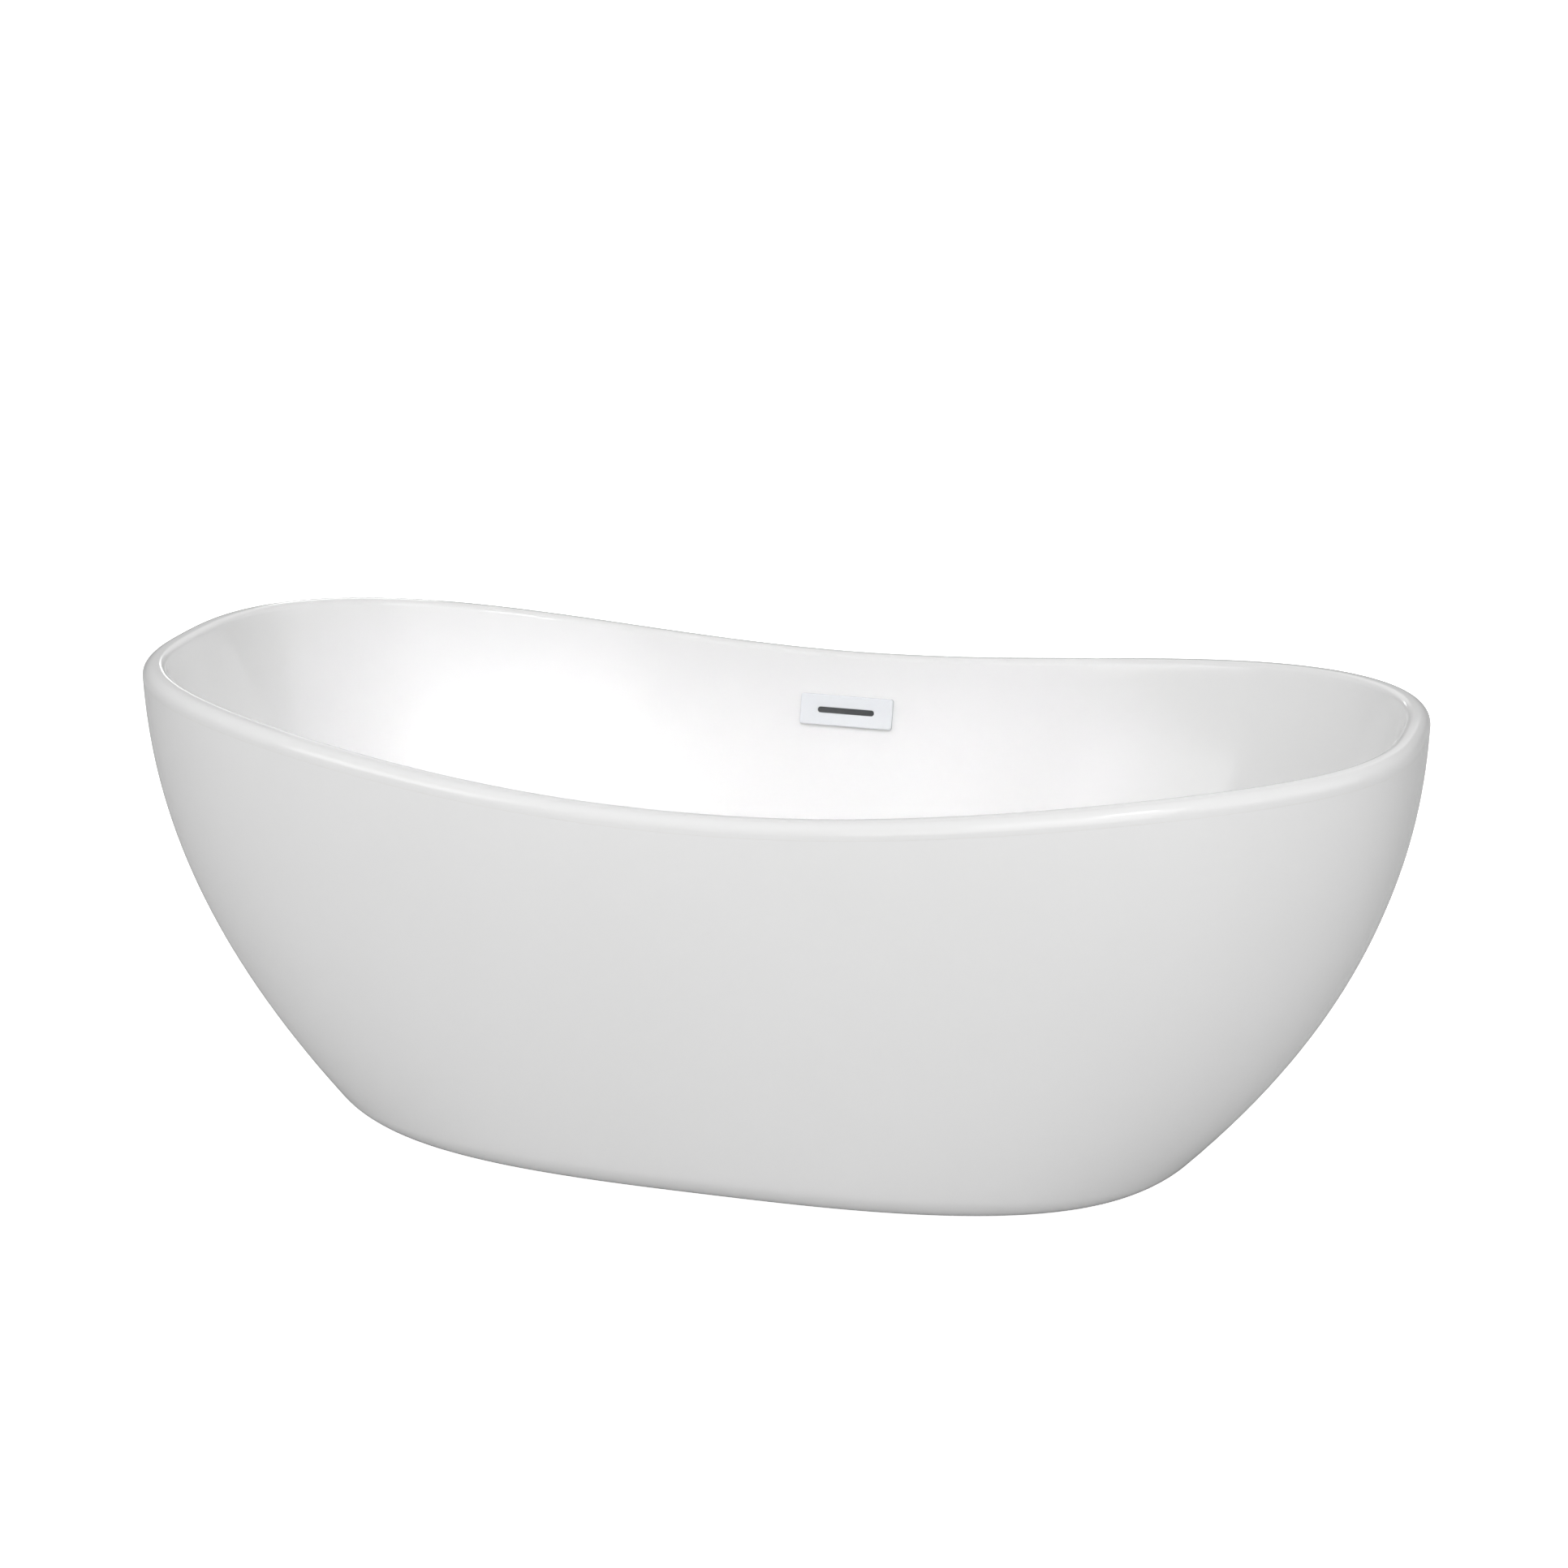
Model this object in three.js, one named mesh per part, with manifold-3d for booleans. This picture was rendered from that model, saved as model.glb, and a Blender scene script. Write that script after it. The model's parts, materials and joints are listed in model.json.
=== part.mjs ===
// Freestanding double-walled acrylic bathtub, 1650 x 815 x 600 mm, on a steel under-frame with four
// levelling feet, with a push-to-open waste in the floor and a slotted overflow in the wall.
// Millimetres. +X runs along the tub, +Y across it towards the overflow, +Z up. The origin is on the floor,
// under the middle of the tub. The tub is the same at both ends.
import * as THREE from "three";
import { ParametricGeometry } from "three/addons/geometries/ParametricGeometry.js";
import { mergeVertices } from "three/addons/utils/BufferGeometryUtils.js";
import Module from "manifold-3d";

const wasm = await Module();
wasm.setup();

// ---- Driving dimensions ----

const HALF_LENGTH = 825;
const HALF_WIDTH = 407.5;
const RIM_END_HEIGHT = 600; // the rim is highest at the two ends
const RIM_MIDDLE_HEIGHT = 536; // and dips between them
const RIM_WAVE = 0.9 * Math.PI; // the dip follows this much of a cosine on each side
const RIM_POWER = 2.65; // superellipse exponents of the plan outline
const BASE_POWER = 2.85;
const GAP = 0.3; // between neighbouring pieces
const AROUND = 52; // facets round a shell

// The rim is a hollow roll, measured inwards from its outer edge and down from its crest.
const RIM_OUTER_ROUND = 15;
const RIM_INNER_ROUND = 10;
const RIM_TOP_FLAT = 5;
const RIM_WIDTH = RIM_OUTER_ROUND + RIM_TOP_FLAT + RIM_INNER_ROUND;
const LIP_DROP = 20; // the rim's outer face ends here, and the skirt begins
const BOND_DROP = 45; // a flange behind the skirt's top, which is glued to it
const BOND_THICKNESS = 4;

// Outer skirt: how far the wall runs in from the rim to the floor, and how it is shared over the height.
const SKIRT_WALL = 6;
const END_TAPER = 286;
const END_TAPER_POWER = 2.2;
const SIDE_TAPER = 104.5;
const SIDE_TAPER_POWER = 1.5;
const SKIRT_CLEARANCE = 2;
const BASE_ROUND = 38;
const BASE_FLANGE = 20;

// Basin: a flat floor that falls to the waste, and a wall that sweeps up to the rim.
const BASIN_WALL = 6;
const FLOOR_HALF_LENGTH = 430;
const FLOOR_HALF_WIDTH = 150;
const FLOOR_EDGE_HEIGHT = 118;
const FLOOR_DRAIN_HEIGHT = 115;
const RECESS_DEPTH = 3;
const RECESS_RADIUS = 42;
const DRAIN_HOLE_RADIUS = 26;
const WALL_LEAN = THREE.MathUtils.degToRad(12.5); // from upright, where the wall meets the rim
const WALL_TOP_RUN = 52; // horizontal reach of the upper handle of the wall's curve
const WALL_TOP_RISE = 0.45; // height of that handle, as a share of the wall's rise
const WALL_FOOT_RUN = 0.55; // share of the run-in left at the end of the lower handle

// Under-frame of square tube: two rails under the floor board, on four cross members.
const TUBE = 25;
const TUBE_WALL = 2;
const BOARD_BOTTOM = 96.4;
const RAIL_BOTTOM = BOARD_BOTTOM - GAP - TUBE;
const CROSS_BOTTOM = RAIL_BOTTOM - GAP - TUBE;
const RAIL_HALF_LENGTH = 400;
const RAIL_Y = 95;
const OUTER_CROSS_X = 330;
const INNER_CROSS_X = 140;
const CROSS_HALF_LENGTH = 215;

// Levelling feet, under the outer cross members.
const FOOT_Y = 165;
const STUD_RADIUS = 6;
const STUD_CLEARANCE = 0.1;
const STUD_TOP = 90;
const PAD_RADIUS = 22;
const PAD_SOCKET_FLOOR = 6; // the stud turns in a blind socket in its pad
const PAD_TOP = 14;
const HEXAGON_RADIUS = 10; // of the jam nut, and of the stud's hexagon
const HEXAGON_BOTTOM = 17;
const HEXAGON_TOP = 23;
const JAM_NUT_HEIGHT = 8;

// Skirt brackets: a strip bolted under a cross member, down to the skirt's flange.
const BRACKET_THICKNESS = 3;
const BRACKET_WIDTH = 24;
const BRACKET_BOLT_Y = 201;
const BOLT_RADIUS = 3;
const BOLT_HEAD_RADIUS = 5.8;
const BOLT_HEAD_HEIGHT = 4;

// Waste: a flange screwed down into a tee, and a stopper that lifts on a spring.
const WASTE_RADIUS = 22;
const WASTE_BORE = 19;
const WASTE_TOP = 116.3;
const WASTE_BOTTOM = 66; // of the flange's threaded body
const FLANGE_RADIUS = 34.5;
const HUB_RADIUS = 9.5; // the hub on the flange's four arms holds the cartridge
const HUB_BOTTOM = 84;
const HUB_TOP = 96;
const CARTRIDGE_RADIUS = 6;
const CARTRIDGE_BOTTOM = 70;
const CARTRIDGE_TOP = 99;
const STOPPER_LIFT = 10; // the stopper is modelled up, and can be pushed down by this
const STEM_RADIUS = 3;
const PLUG_RADIUS = 12;
const PLUG_DEPTH = 5;
const CAP_RADIUS = 32;
const SPRING_RADIUS = 6.5;
const SPRING_WIRE = 0.9;
const SPRING_TURNS = 5;
const SEAL_RADIUS = 33;
const GASKET_THICKNESS = 2.7;
const TEE_BOTTOM = 30;
const TEE_BODY_RADIUS = 28;
const TEE_BODY_BORE = 18;
const TEE_FOOT_RADIUS = 25;
const TEE_SOCKET_TOP = 41; // the tailpiece stops here
const BRANCH_HEIGHT = 52;
const BRANCH_END = 44;
const BRANCH_RADIUS = 12;
const BRANCH_BORE = 6.3;
const BARB_RADIUS = 8.3;
const HOSE_BORE = 8.8;
const HOSE_RADIUS = 11.2;
const TAIL_RADIUS = 20;
const TAIL_BOTTOM = 8;
const SLIP_NUT_RADIUS = 29;
const SLIP_NUT_BOTTOM = 25;
const SLIP_NUT_TOP = 40;

// Overflow: on the wall above the waste, square to the wall.
const OVERFLOW_SHARE = 0.896; // of the way up the wall's curve
const PLATE_WIDTH = 130;
const PLATE_HEIGHT = 42;
const PLATE_DEPTH = 8;
const SLOT_WIDTH = 80;
const SLOT_HEIGHT = 8;
const SPIGOT_RADIUS = 13; // screwed through a hole in the wall into the elbow
const SPIGOT_BORE = 10;
const SPIGOT_FLANGE = 18.5;
const ELBOW_RADIUS = 18;
const ELBOW_DEPTH = 19;
const BARB_START = 24; // below the elbow's middle
const BARB_END = 46;

// ---- Geometry helpers ----

const vec = (x, y, z) => new THREE.Vector3(x, y, z);
const { lerp } = THREE.MathUtils;

function solidOf(geometry) {
  const bare = geometry.clone();
  bare.deleteAttribute("normal");
  bare.deleteAttribute("uv");
  const merged = mergeVertices(bare, 1e-3);
  return new wasm.Manifold(
    new wasm.Mesh({
      numProp: 3,
      vertProperties: new Float32Array(merged.attributes.position.array),
      triVerts: new Uint32Array(merged.index.array),
    }),
  );
}

function geometryOf(solid) {
  const mesh = solid.getMesh();
  const indexed = new THREE.BufferGeometry()
    .setAttribute("position", new THREE.BufferAttribute(mesh.vertProperties, 3))
    .setIndex(new THREE.BufferAttribute(mesh.triVerts, 1));
  const flat = indexed.toNonIndexed();
  flat.computeVertexNormals();
  return flat;
}

const cut = (geometry, ...tools) =>
  geometryOf(tools.reduce((solid, tool) => solid.subtract(solidOf(tool)), solidOf(geometry)));
const join = (geometry, ...more) =>
  geometryOf(more.reduce((solid, other) => solid.add(solidOf(other)), solidOf(geometry)));

// A closed surface through rings of points: each station is a function from the angle to a point.
function loft(stations, segments = AROUND) {
  const point = (along, across, target) => {
    const station = stations[Math.round(along * stations.length) % stations.length];
    const angle = (Math.round(across * segments) % segments) * ((2 * Math.PI) / segments);
    target.copy(station(angle));
  };
  return new ParametricGeometry(point, stations.length, segments);
}

// The point a given depth behind a surface(angle, share). Seen along the surface's outward and upward sweep,
// it is on the far side.
function behind(surface, angle, share, depth) {
  const step = 1e-4;
  const [low, high] = [Math.max(share - step, 0), Math.min(share + step, 1)];
  const across = surface(angle + step, share).sub(surface(angle - step, share));
  const along = surface(angle, high).sub(surface(angle, low));
  return surface(angle, share).addScaledVector(across.cross(along).normalize(), depth);
}

const steps = (count) => Array.from({ length: count + 1 }, (_, i) => i / count);

// A body of revolution about Z through [radius, height] points, closed on itself or on the axis.
function turned(points, segments = 24) {
  return new THREE.LatheGeometry(
    points.map(([radius, height]) => new THREE.Vector2(radius, height)),
    segments,
  ).rotateX(Math.PI / 2);
}

const ringProfile = (inner, outer, low, high) => [
  [inner, low],
  [outer, low],
  [outer, high],
  [inner, high],
  [inner, low],
];
const ring = (inner, outer, low, high, segments) => turned(ringProfile(inner, outer, low, high), segments);
const disc = (radius, low, high, segments) =>
  turned(
    [
      [0, low],
      [radius, low],
      [radius, high],
      [0, high],
    ],
    segments,
  );

// ---- The tub's form ----

function planPoint(angle, halfLength, halfWidth, power, height) {
  const c = Math.cos(angle);
  const s = Math.sin(angle);
  const reach = (Math.abs(c) ** power + Math.abs(s) ** power) ** (-1 / power);
  return vec(halfLength * reach * c, halfWidth * reach * s, height);
}

function rimHeight(angle) {
  const share = Math.abs(planPoint(angle, 1, 1, RIM_POWER, 0).x);
  const climb = (1 - Math.cos(RIM_WAVE * share)) / (1 - Math.cos(RIM_WAVE));
  return lerp(RIM_MIDDLE_HEIGHT, RIM_END_HEIGHT, climb);
}

function rimPoint(angle, inset, drop) {
  return planPoint(angle, HALF_LENGTH - inset, HALF_WIDTH - inset, RIM_POWER, rimHeight(angle) - drop);
}

// The outer face of the tub at a height, moved in by an inset.
function outerPoint(angle, height, inset = 0) {
  const left = 1 - height / rimHeight(angle);
  const endShare = left ** END_TAPER_POWER;
  return planPoint(
    angle,
    HALF_LENGTH - END_TAPER * endShare - inset,
    HALF_WIDTH - SIDE_TAPER * left ** SIDE_TAPER_POWER - inset,
    lerp(RIM_POWER, BASE_POWER, endShare),
    height,
  );
}

const WALL_TOP_INSET = RIM_WIDTH - RIM_INNER_ROUND * (1 - Math.cos(WALL_LEAN));
const WALL_TOP_DROP = RIM_INNER_ROUND * (1 - Math.sin(WALL_LEAN));

const bezier = (t, a, b, c, d) =>
  (1 - t) ** 3 * a + 3 * (1 - t) ** 2 * t * b + 3 * (1 - t) * t ** 2 * c + t ** 3 * d;

// The basin's wet face: the wall from the floor's edge, at 0, to the rim's roll, at 1.
function basinWall(angle, share) {
  const topLength = HALF_LENGTH - WALL_TOP_INSET;
  const topWidth = HALF_WIDTH - WALL_TOP_INSET;
  const endRun = topLength - FLOOR_HALF_LENGTH;
  const sideRun = topWidth - FLOOR_HALF_WIDTH;
  const top = rimHeight(angle) - WALL_TOP_DROP;
  return planPoint(
    angle,
    topLength - bezier(share, endRun, endRun * WALL_FOOT_RUN, WALL_TOP_RUN, 0),
    topWidth - bezier(share, sideRun, sideRun * WALL_FOOT_RUN, WALL_TOP_RUN, 0),
    RIM_POWER,
    lerp(FLOOR_EDGE_HEIGHT, top, bezier(share, 0, 0, WALL_TOP_RISE, 1)),
  );
}

// The floor, from the edge of the waste's recess, at 0, to its own edge, at 1.
function basinFloor(angle, share) {
  return planPoint(
    angle,
    lerp(RECESS_RADIUS, FLOOR_HALF_LENGTH, share),
    lerp(RECESS_RADIUS, FLOOR_HALF_WIDTH, share),
    lerp(2, RIM_POWER, share),
    lerp(FLOOR_DRAIN_HEIGHT, FLOOR_EDGE_HEIGHT, share),
  );
}

// The overflow's own frame: origin on the wet face, +Z out of the wall into the tub, +Y up the wall.
const WALL_POINT = basinWall(Math.PI / 2, OVERFLOW_SHARE);
const INTO_WALL = behind(basinWall, Math.PI / 2, OVERFLOW_SHARE, 1).sub(WALL_POINT);
const OVERFLOW_TURN = Math.PI / 2 - Math.atan2(-INTO_WALL.z, INTO_WALL.y);
const atOverflow = (geometry) => geometry.rotateX(OVERFLOW_TURN).translate(...WALL_POINT.toArray());
const overflowPoint = (x, up, out) =>
  vec(x, up, out).applyAxisAngle(vec(1, 0, 0), OVERFLOW_TURN).add(WALL_POINT);

// ---- Shells ----

const roundPoint = (angle, radius, height) => planPoint(angle, radius, radius, 2, height);

function basinGeometry() {
  const wallShares = steps(12);
  const floorShares = [0, 0.5, 1];
  const innerArc = [0, 0.5, 1].map((s) => lerp(WALL_LEAN, Math.PI / 2, s));
  const outerArc = steps(3).map((s) => s * (Math.PI / 2));
  const innerCentre = RIM_WIDTH - RIM_INNER_ROUND;
  const innerRoll = (radius) =>
    innerArc.map((turn) => (angle) =>
      rimPoint(angle, innerCentre + radius * Math.cos(turn), RIM_INNER_ROUND - radius * Math.sin(turn)),
    );
  const outerRoll = (radius) =>
    outerArc.map((turn) => (angle) =>
      rimPoint(angle, RIM_OUTER_ROUND - radius * Math.sin(turn), RIM_OUTER_ROUND - radius * Math.cos(turn)),
    );
  const bondInset = SKIRT_WALL + 2 * GAP;
  const below = (drop, inset) => (angle) => outerPoint(angle, rimHeight(angle) - drop, inset);
  const recessFloor = FLOOR_DRAIN_HEIGHT - RECESS_DEPTH;
  const front = [
    (angle) => roundPoint(angle, DRAIN_HOLE_RADIUS, recessFloor),
    (angle) => roundPoint(angle, RECESS_RADIUS - RECESS_DEPTH, recessFloor),
    ...floorShares.slice(0, -1).map((s) => (angle) => basinFloor(angle, s)),
    ...wallShares.slice(0, -1).map((s) => (angle) => basinWall(angle, s)),
    ...innerRoll(RIM_INNER_ROUND),
    ...outerRoll(RIM_OUTER_ROUND),
    below(LIP_DROP, 0),
    below(LIP_DROP, bondInset),
    below(BOND_DROP, bondInset),
  ];
  const back = [
    below(BOND_DROP, bondInset + BOND_THICKNESS),
    below(LIP_DROP, bondInset + BOND_THICKNESS),
    ...outerRoll(RIM_OUTER_ROUND - BASIN_WALL).reverse(),
    ...innerRoll(RIM_INNER_ROUND - BASIN_WALL).reverse(),
    ...wallShares.slice(1, -1).reverse().map((s) => (angle) => behind(basinWall, angle, s, BASIN_WALL)),
    ...floorShares.reverse().map((s) => (angle) => behind(basinFloor, angle, s, BASIN_WALL)),
    (angle) => roundPoint(angle, DRAIN_HOLE_RADIUS, recessFloor - BASIN_WALL),
  ];
  const hole = atOverflow(disc(SPIGOT_RADIUS + 1, -BASIN_WALL - 9, 9));
  return cut(loft([...front, ...back]), hole);
}

// The skirt's outer face: its bottom corner from the flat, at 0, to the wall, at 1.
function skirtCorner(angle, share) {
  const turn = share * (Math.PI / 2);
  const height = SKIRT_CLEARANCE + BASE_ROUND * (1 - Math.cos(turn));
  return outerPoint(angle, height, BASE_ROUND * (1 - Math.sin(turn)));
}

// And its wall, from the corner, at 0, to the joint under the rim, at 1.
function skirtWall(angle, share) {
  const top = rimHeight(angle) - LIP_DROP - 2 * GAP;
  return outerPoint(angle, lerp(SKIRT_CLEARANCE + BASE_ROUND, top, share));
}

function skirtGeometry() {
  const wallShares = steps(8).map((s) => 1 - (1 - s) ** 1.5); // closer together near the rim
  const cornerShares = steps(4).slice(0, -1);
  const flangeEdge = (height) => (angle) => outerPoint(angle, height, BASE_ROUND + BASE_FLANGE);
  const inner = (surface) => (s) => (angle) => behind(surface, angle, s, -SKIRT_WALL);
  return loft([
    ...cornerShares.map(inner(skirtCorner)),
    ...wallShares.map(inner(skirtWall)),
    ...wallShares.reverse().map((s) => (angle) => skirtWall(angle, s)),
    ...cornerShares.reverse().map((s) => (angle) => skirtCorner(angle, s)),
    flangeEdge(SKIRT_CLEARANCE),
    flangeEdge(SKIRT_CLEARANCE + SKIRT_WALL),
  ]);
}

// ---- Under-frame ----

const box = (sx, sy, sz, x, y, z) => new THREE.BoxGeometry(sx, sy, sz).translate(x, y, z);

// A square tube along X, open at both ends, with its corner edges rounded.
function tubeGeometry(halfLength) {
  const square = (size, round, Path) => {
    const path = new Path();
    const half = size / 2;
    path.moveTo(-half + round, -half);
    path.lineTo(half - round, -half);
    path.quadraticCurveTo(half, -half, half, -half + round);
    path.lineTo(half, half - round);
    path.quadraticCurveTo(half, half, half - round, half);
    path.lineTo(-half + round, half);
    path.quadraticCurveTo(-half, half, -half, half - round);
    path.lineTo(-half, -half + round);
    path.quadraticCurveTo(-half, -half, -half + round, -half);
    return path;
  };
  const shape = square(TUBE, 3, THREE.Shape);
  shape.holes.push(square(TUBE - 2 * TUBE_WALL, 1, THREE.Path));
  const geometry = new THREE.ExtrudeGeometry(shape, {
    depth: 2 * halfLength,
    bevelEnabled: false,
    curveSegments: 2,
  });
  return geometry.translate(0, 0, -halfLength).rotateY(Math.PI / 2);
}

const railGeometry = (y) =>
  tubeGeometry(RAIL_HALF_LENGTH).translate(0, y, RAIL_BOTTOM + TUBE / 2);

// A cross member, drilled through for the studs and from below for the bracket bolts if it carries feet.
function crossGeometry(x, withFeet) {
  const tube = tubeGeometry(CROSS_HALF_LENGTH)
    .rotateZ(Math.PI / 2)
    .translate(x, 0, CROSS_BOTTOM + TUBE / 2);
  if (!withFeet) return tube;
  const holes = [-1, 1].flatMap((side) => [
    disc(STUD_RADIUS + STUD_CLEARANCE, 0, STUD_TOP).translate(x, side * FOOT_Y, 0),
    disc(BOLT_RADIUS + GAP, CROSS_BOTTOM - 5, CROSS_BOTTOM + 5, 16).translate(x, side * BRACKET_BOLT_Y, 0),
  ]);
  return cut(tube, ...holes);
}

// The board lies along the floor's underside, with a hole round the waste.
function boardGeometry() {
  const top = (share) => (angle) => behind(basinFloor, angle, share, BASIN_WALL + GAP);
  const bottom = (share) => (angle) => top(share)(angle).setZ(BOARD_BOTTOM);
  return loft([bottom(0.02), top(0.02), top(0.94), bottom(0.94)]);
}

function padGeometry() {
  return turned([
    [0, 0],
    [PAD_RADIUS, 0],
    [PAD_RADIUS, 4],
    [PAD_RADIUS - 3, 7],
    [11, 8],
    [10, PAD_TOP],
    [STUD_RADIUS + STUD_CLEARANCE, PAD_TOP],
    [STUD_RADIUS + STUD_CLEARANCE, PAD_SOCKET_FLOOR],
    [0, PAD_SOCKET_FLOOR],
  ]);
}

// A stud with a hexagon to turn it by.
function studGeometry() {
  const shaft = disc(STUD_RADIUS, PAD_SOCKET_FLOOR + GAP, STUD_TOP);
  return join(shaft, disc(HEXAGON_RADIUS, HEXAGON_BOTTOM, HEXAGON_TOP, 6));
}

// The jam nut is turned up against the cross member.
function nutGeometry() {
  const high = CROSS_BOTTOM - GAP;
  const low = high - JAM_NUT_HEIGHT;
  const bore = disc(STUD_RADIUS + STUD_CLEARANCE, low - 1, high + 1);
  return cut(disc(HEXAGON_RADIUS, low, high, 6), bore);
}

// The strip's side outline: under the tube, down its end, and out over the skirt's flange.
function bracketGeometry() {
  const top = CROSS_BOTTOM - GAP;
  const foot = SKIRT_CLEARANCE + SKIRT_WALL + GAP;
  const t = BRACKET_THICKNESS;
  const edge = CROSS_HALF_LENGTH + 2;
  const outline = [
    [BRACKET_BOLT_Y - 10, top],
    [BRACKET_BOLT_Y - 10, top - t],
    [edge - t, top - t],
    [edge - t, foot],
    [edge + 13, foot],
    [edge + 13, foot + t],
    [edge, foot + t],
    [edge, top],
  ];
  const shape = new THREE.Shape(outline.map(([y, z]) => new THREE.Vector2(y, z)));
  const strip = new THREE.ExtrudeGeometry(shape, { depth: BRACKET_WIDTH, bevelEnabled: false })
    .rotateX(Math.PI / 2)
    .rotateZ(Math.PI / 2)
    .translate(-BRACKET_WIDTH / 2, 0, 0);
  return cut(strip, disc(BOLT_RADIUS + GAP, 0, top + 1, 16).translate(0, BRACKET_BOLT_Y, 0));
}

function boltGeometry() {
  const seat = CROSS_BOTTOM - BRACKET_THICKNESS - 2 * GAP;
  const shank = disc(BOLT_RADIUS, seat - 2, CROSS_BOTTOM + 6, 16);
  const head = disc(BOLT_HEAD_RADIUS, seat - BOLT_HEAD_HEIGHT, seat, 6);
  return join(shank, head).translate(0, BRACKET_BOLT_Y, 0);
}

// ---- Waste ----

const RECESS_FLOOR = FLOOR_DRAIN_HEIGHT - RECESS_DEPTH;
const RECESS_UNDERSIDE = RECESS_FLOOR - BASIN_WALL;
const GASKET_TOP = RECESS_UNDERSIDE - GAP;

function wasteFlangeGeometry() {
  const under = RECESS_FLOOR + 1.8;
  const body = turned([
    [WASTE_BORE, WASTE_BOTTOM],
    [WASTE_RADIUS, WASTE_BOTTOM],
    [WASTE_RADIUS, under],
    [FLANGE_RADIUS - 0.5, under],
    [FLANGE_RADIUS, under + 1],
    [FLANGE_RADIUS - 1.5, WASTE_TOP],
    [WASTE_BORE + 1.5, WASTE_TOP],
    [WASTE_BORE, WASTE_TOP - 1.5],
    [WASTE_BORE, WASTE_BOTTOM],
  ]);
  const hub = ring(CARTRIDGE_RADIUS + GAP, HUB_RADIUS, HUB_BOTTOM, HUB_TOP);
  const armLength = WASTE_BORE - HUB_RADIUS + 1.5; // it bites into the hub and the body
  const armMiddle = (WASTE_BORE + HUB_RADIUS) / 2;
  const arm = (turn) =>
    box(armLength, 3, 8, armMiddle, 0, (HUB_BOTTOM + HUB_TOP) / 2).rotateZ(turn);
  return join(body, hub, arm(0), arm(Math.PI / 2), arm(Math.PI), arm(-Math.PI / 2));
}

// A plastic barrel in the flange's hub, with a blind bore for the stem.
const cartridgeGeometry = () =>
  turned([
    [0, CARTRIDGE_BOTTOM],
    [CARTRIDGE_RADIUS, CARTRIDGE_BOTTOM],
    [CARTRIDGE_RADIUS, HUB_TOP + GAP],
    [CARTRIDGE_RADIUS + 3, HUB_TOP + GAP],
    [CARTRIDGE_RADIUS + 3, CARTRIDGE_TOP],
    [STEM_RADIUS + STUD_CLEARANCE, CARTRIDGE_TOP],
    [STEM_RADIUS + STUD_CLEARANCE, CARTRIDGE_BOTTOM + 3],
    [0, CARTRIDGE_BOTTOM + 3],
  ]);

// The stopper: a shallow dome over the flange, with a plug under it that carries the seal.
const CAP_UNDERSIDE = WASTE_TOP + GAP + STOPPER_LIFT;
const PLUG_BOTTOM = CAP_UNDERSIDE - PLUG_DEPTH;

function capGeometry() {
  return turned(
    [
      [0, CAP_UNDERSIDE + 1],
      [STEM_RADIUS + GAP, CAP_UNDERSIDE + 1],
      [STEM_RADIUS + GAP, PLUG_BOTTOM],
      [PLUG_RADIUS, PLUG_BOTTOM],
      [PLUG_RADIUS, CAP_UNDERSIDE],
      [CAP_RADIUS - 1, CAP_UNDERSIDE],
      [CAP_RADIUS, CAP_UNDERSIDE + 1],
      [CAP_RADIUS - 1, CAP_UNDERSIDE + 2.5],
      [22, CAP_UNDERSIDE + 4.4],
      [11, CAP_UNDERSIDE + 5.4],
      [0, CAP_UNDERSIDE + 5.7],
    ],
    32,
  );
}

// A round bar along a curve, or a pipe if it has a bore. Its ends are flat.
function sweep(curve, radius, count, sides, bore = 0) {
  const corner = (size, s) =>
    new THREE.Vector2(size * Math.cos(2 * Math.PI * s), size * Math.sin(2 * Math.PI * s));
  const corners = (size) =>
    steps(sides)
      .slice(0, -1)
      .map((s) => corner(size, s));
  const shape = new THREE.Shape(corners(radius));
  if (bore) shape.holes.push(new THREE.Path(corners(bore)));
  return new THREE.ExtrudeGeometry(shape, { steps: count, extrudePath: curve });
}

// A coil round the stem, from the cartridge to the plug.
class Coil extends THREE.Curve {
  getPoint(t, target = new THREE.Vector3()) {
    const low = CARTRIDGE_TOP + GAP + SPRING_WIRE;
    const high = PLUG_BOTTOM - GAP - SPRING_WIRE;
    const angle = t * SPRING_TURNS * 2 * Math.PI;
    const [x, y] = [SPRING_RADIUS * Math.cos(angle), SPRING_RADIUS * Math.sin(angle)];
    return target.set(x, y, lerp(low, high, t));
  }
}
const springGeometry = () => sweep(new Coil(), SPRING_WIRE, 50, 5);

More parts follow.
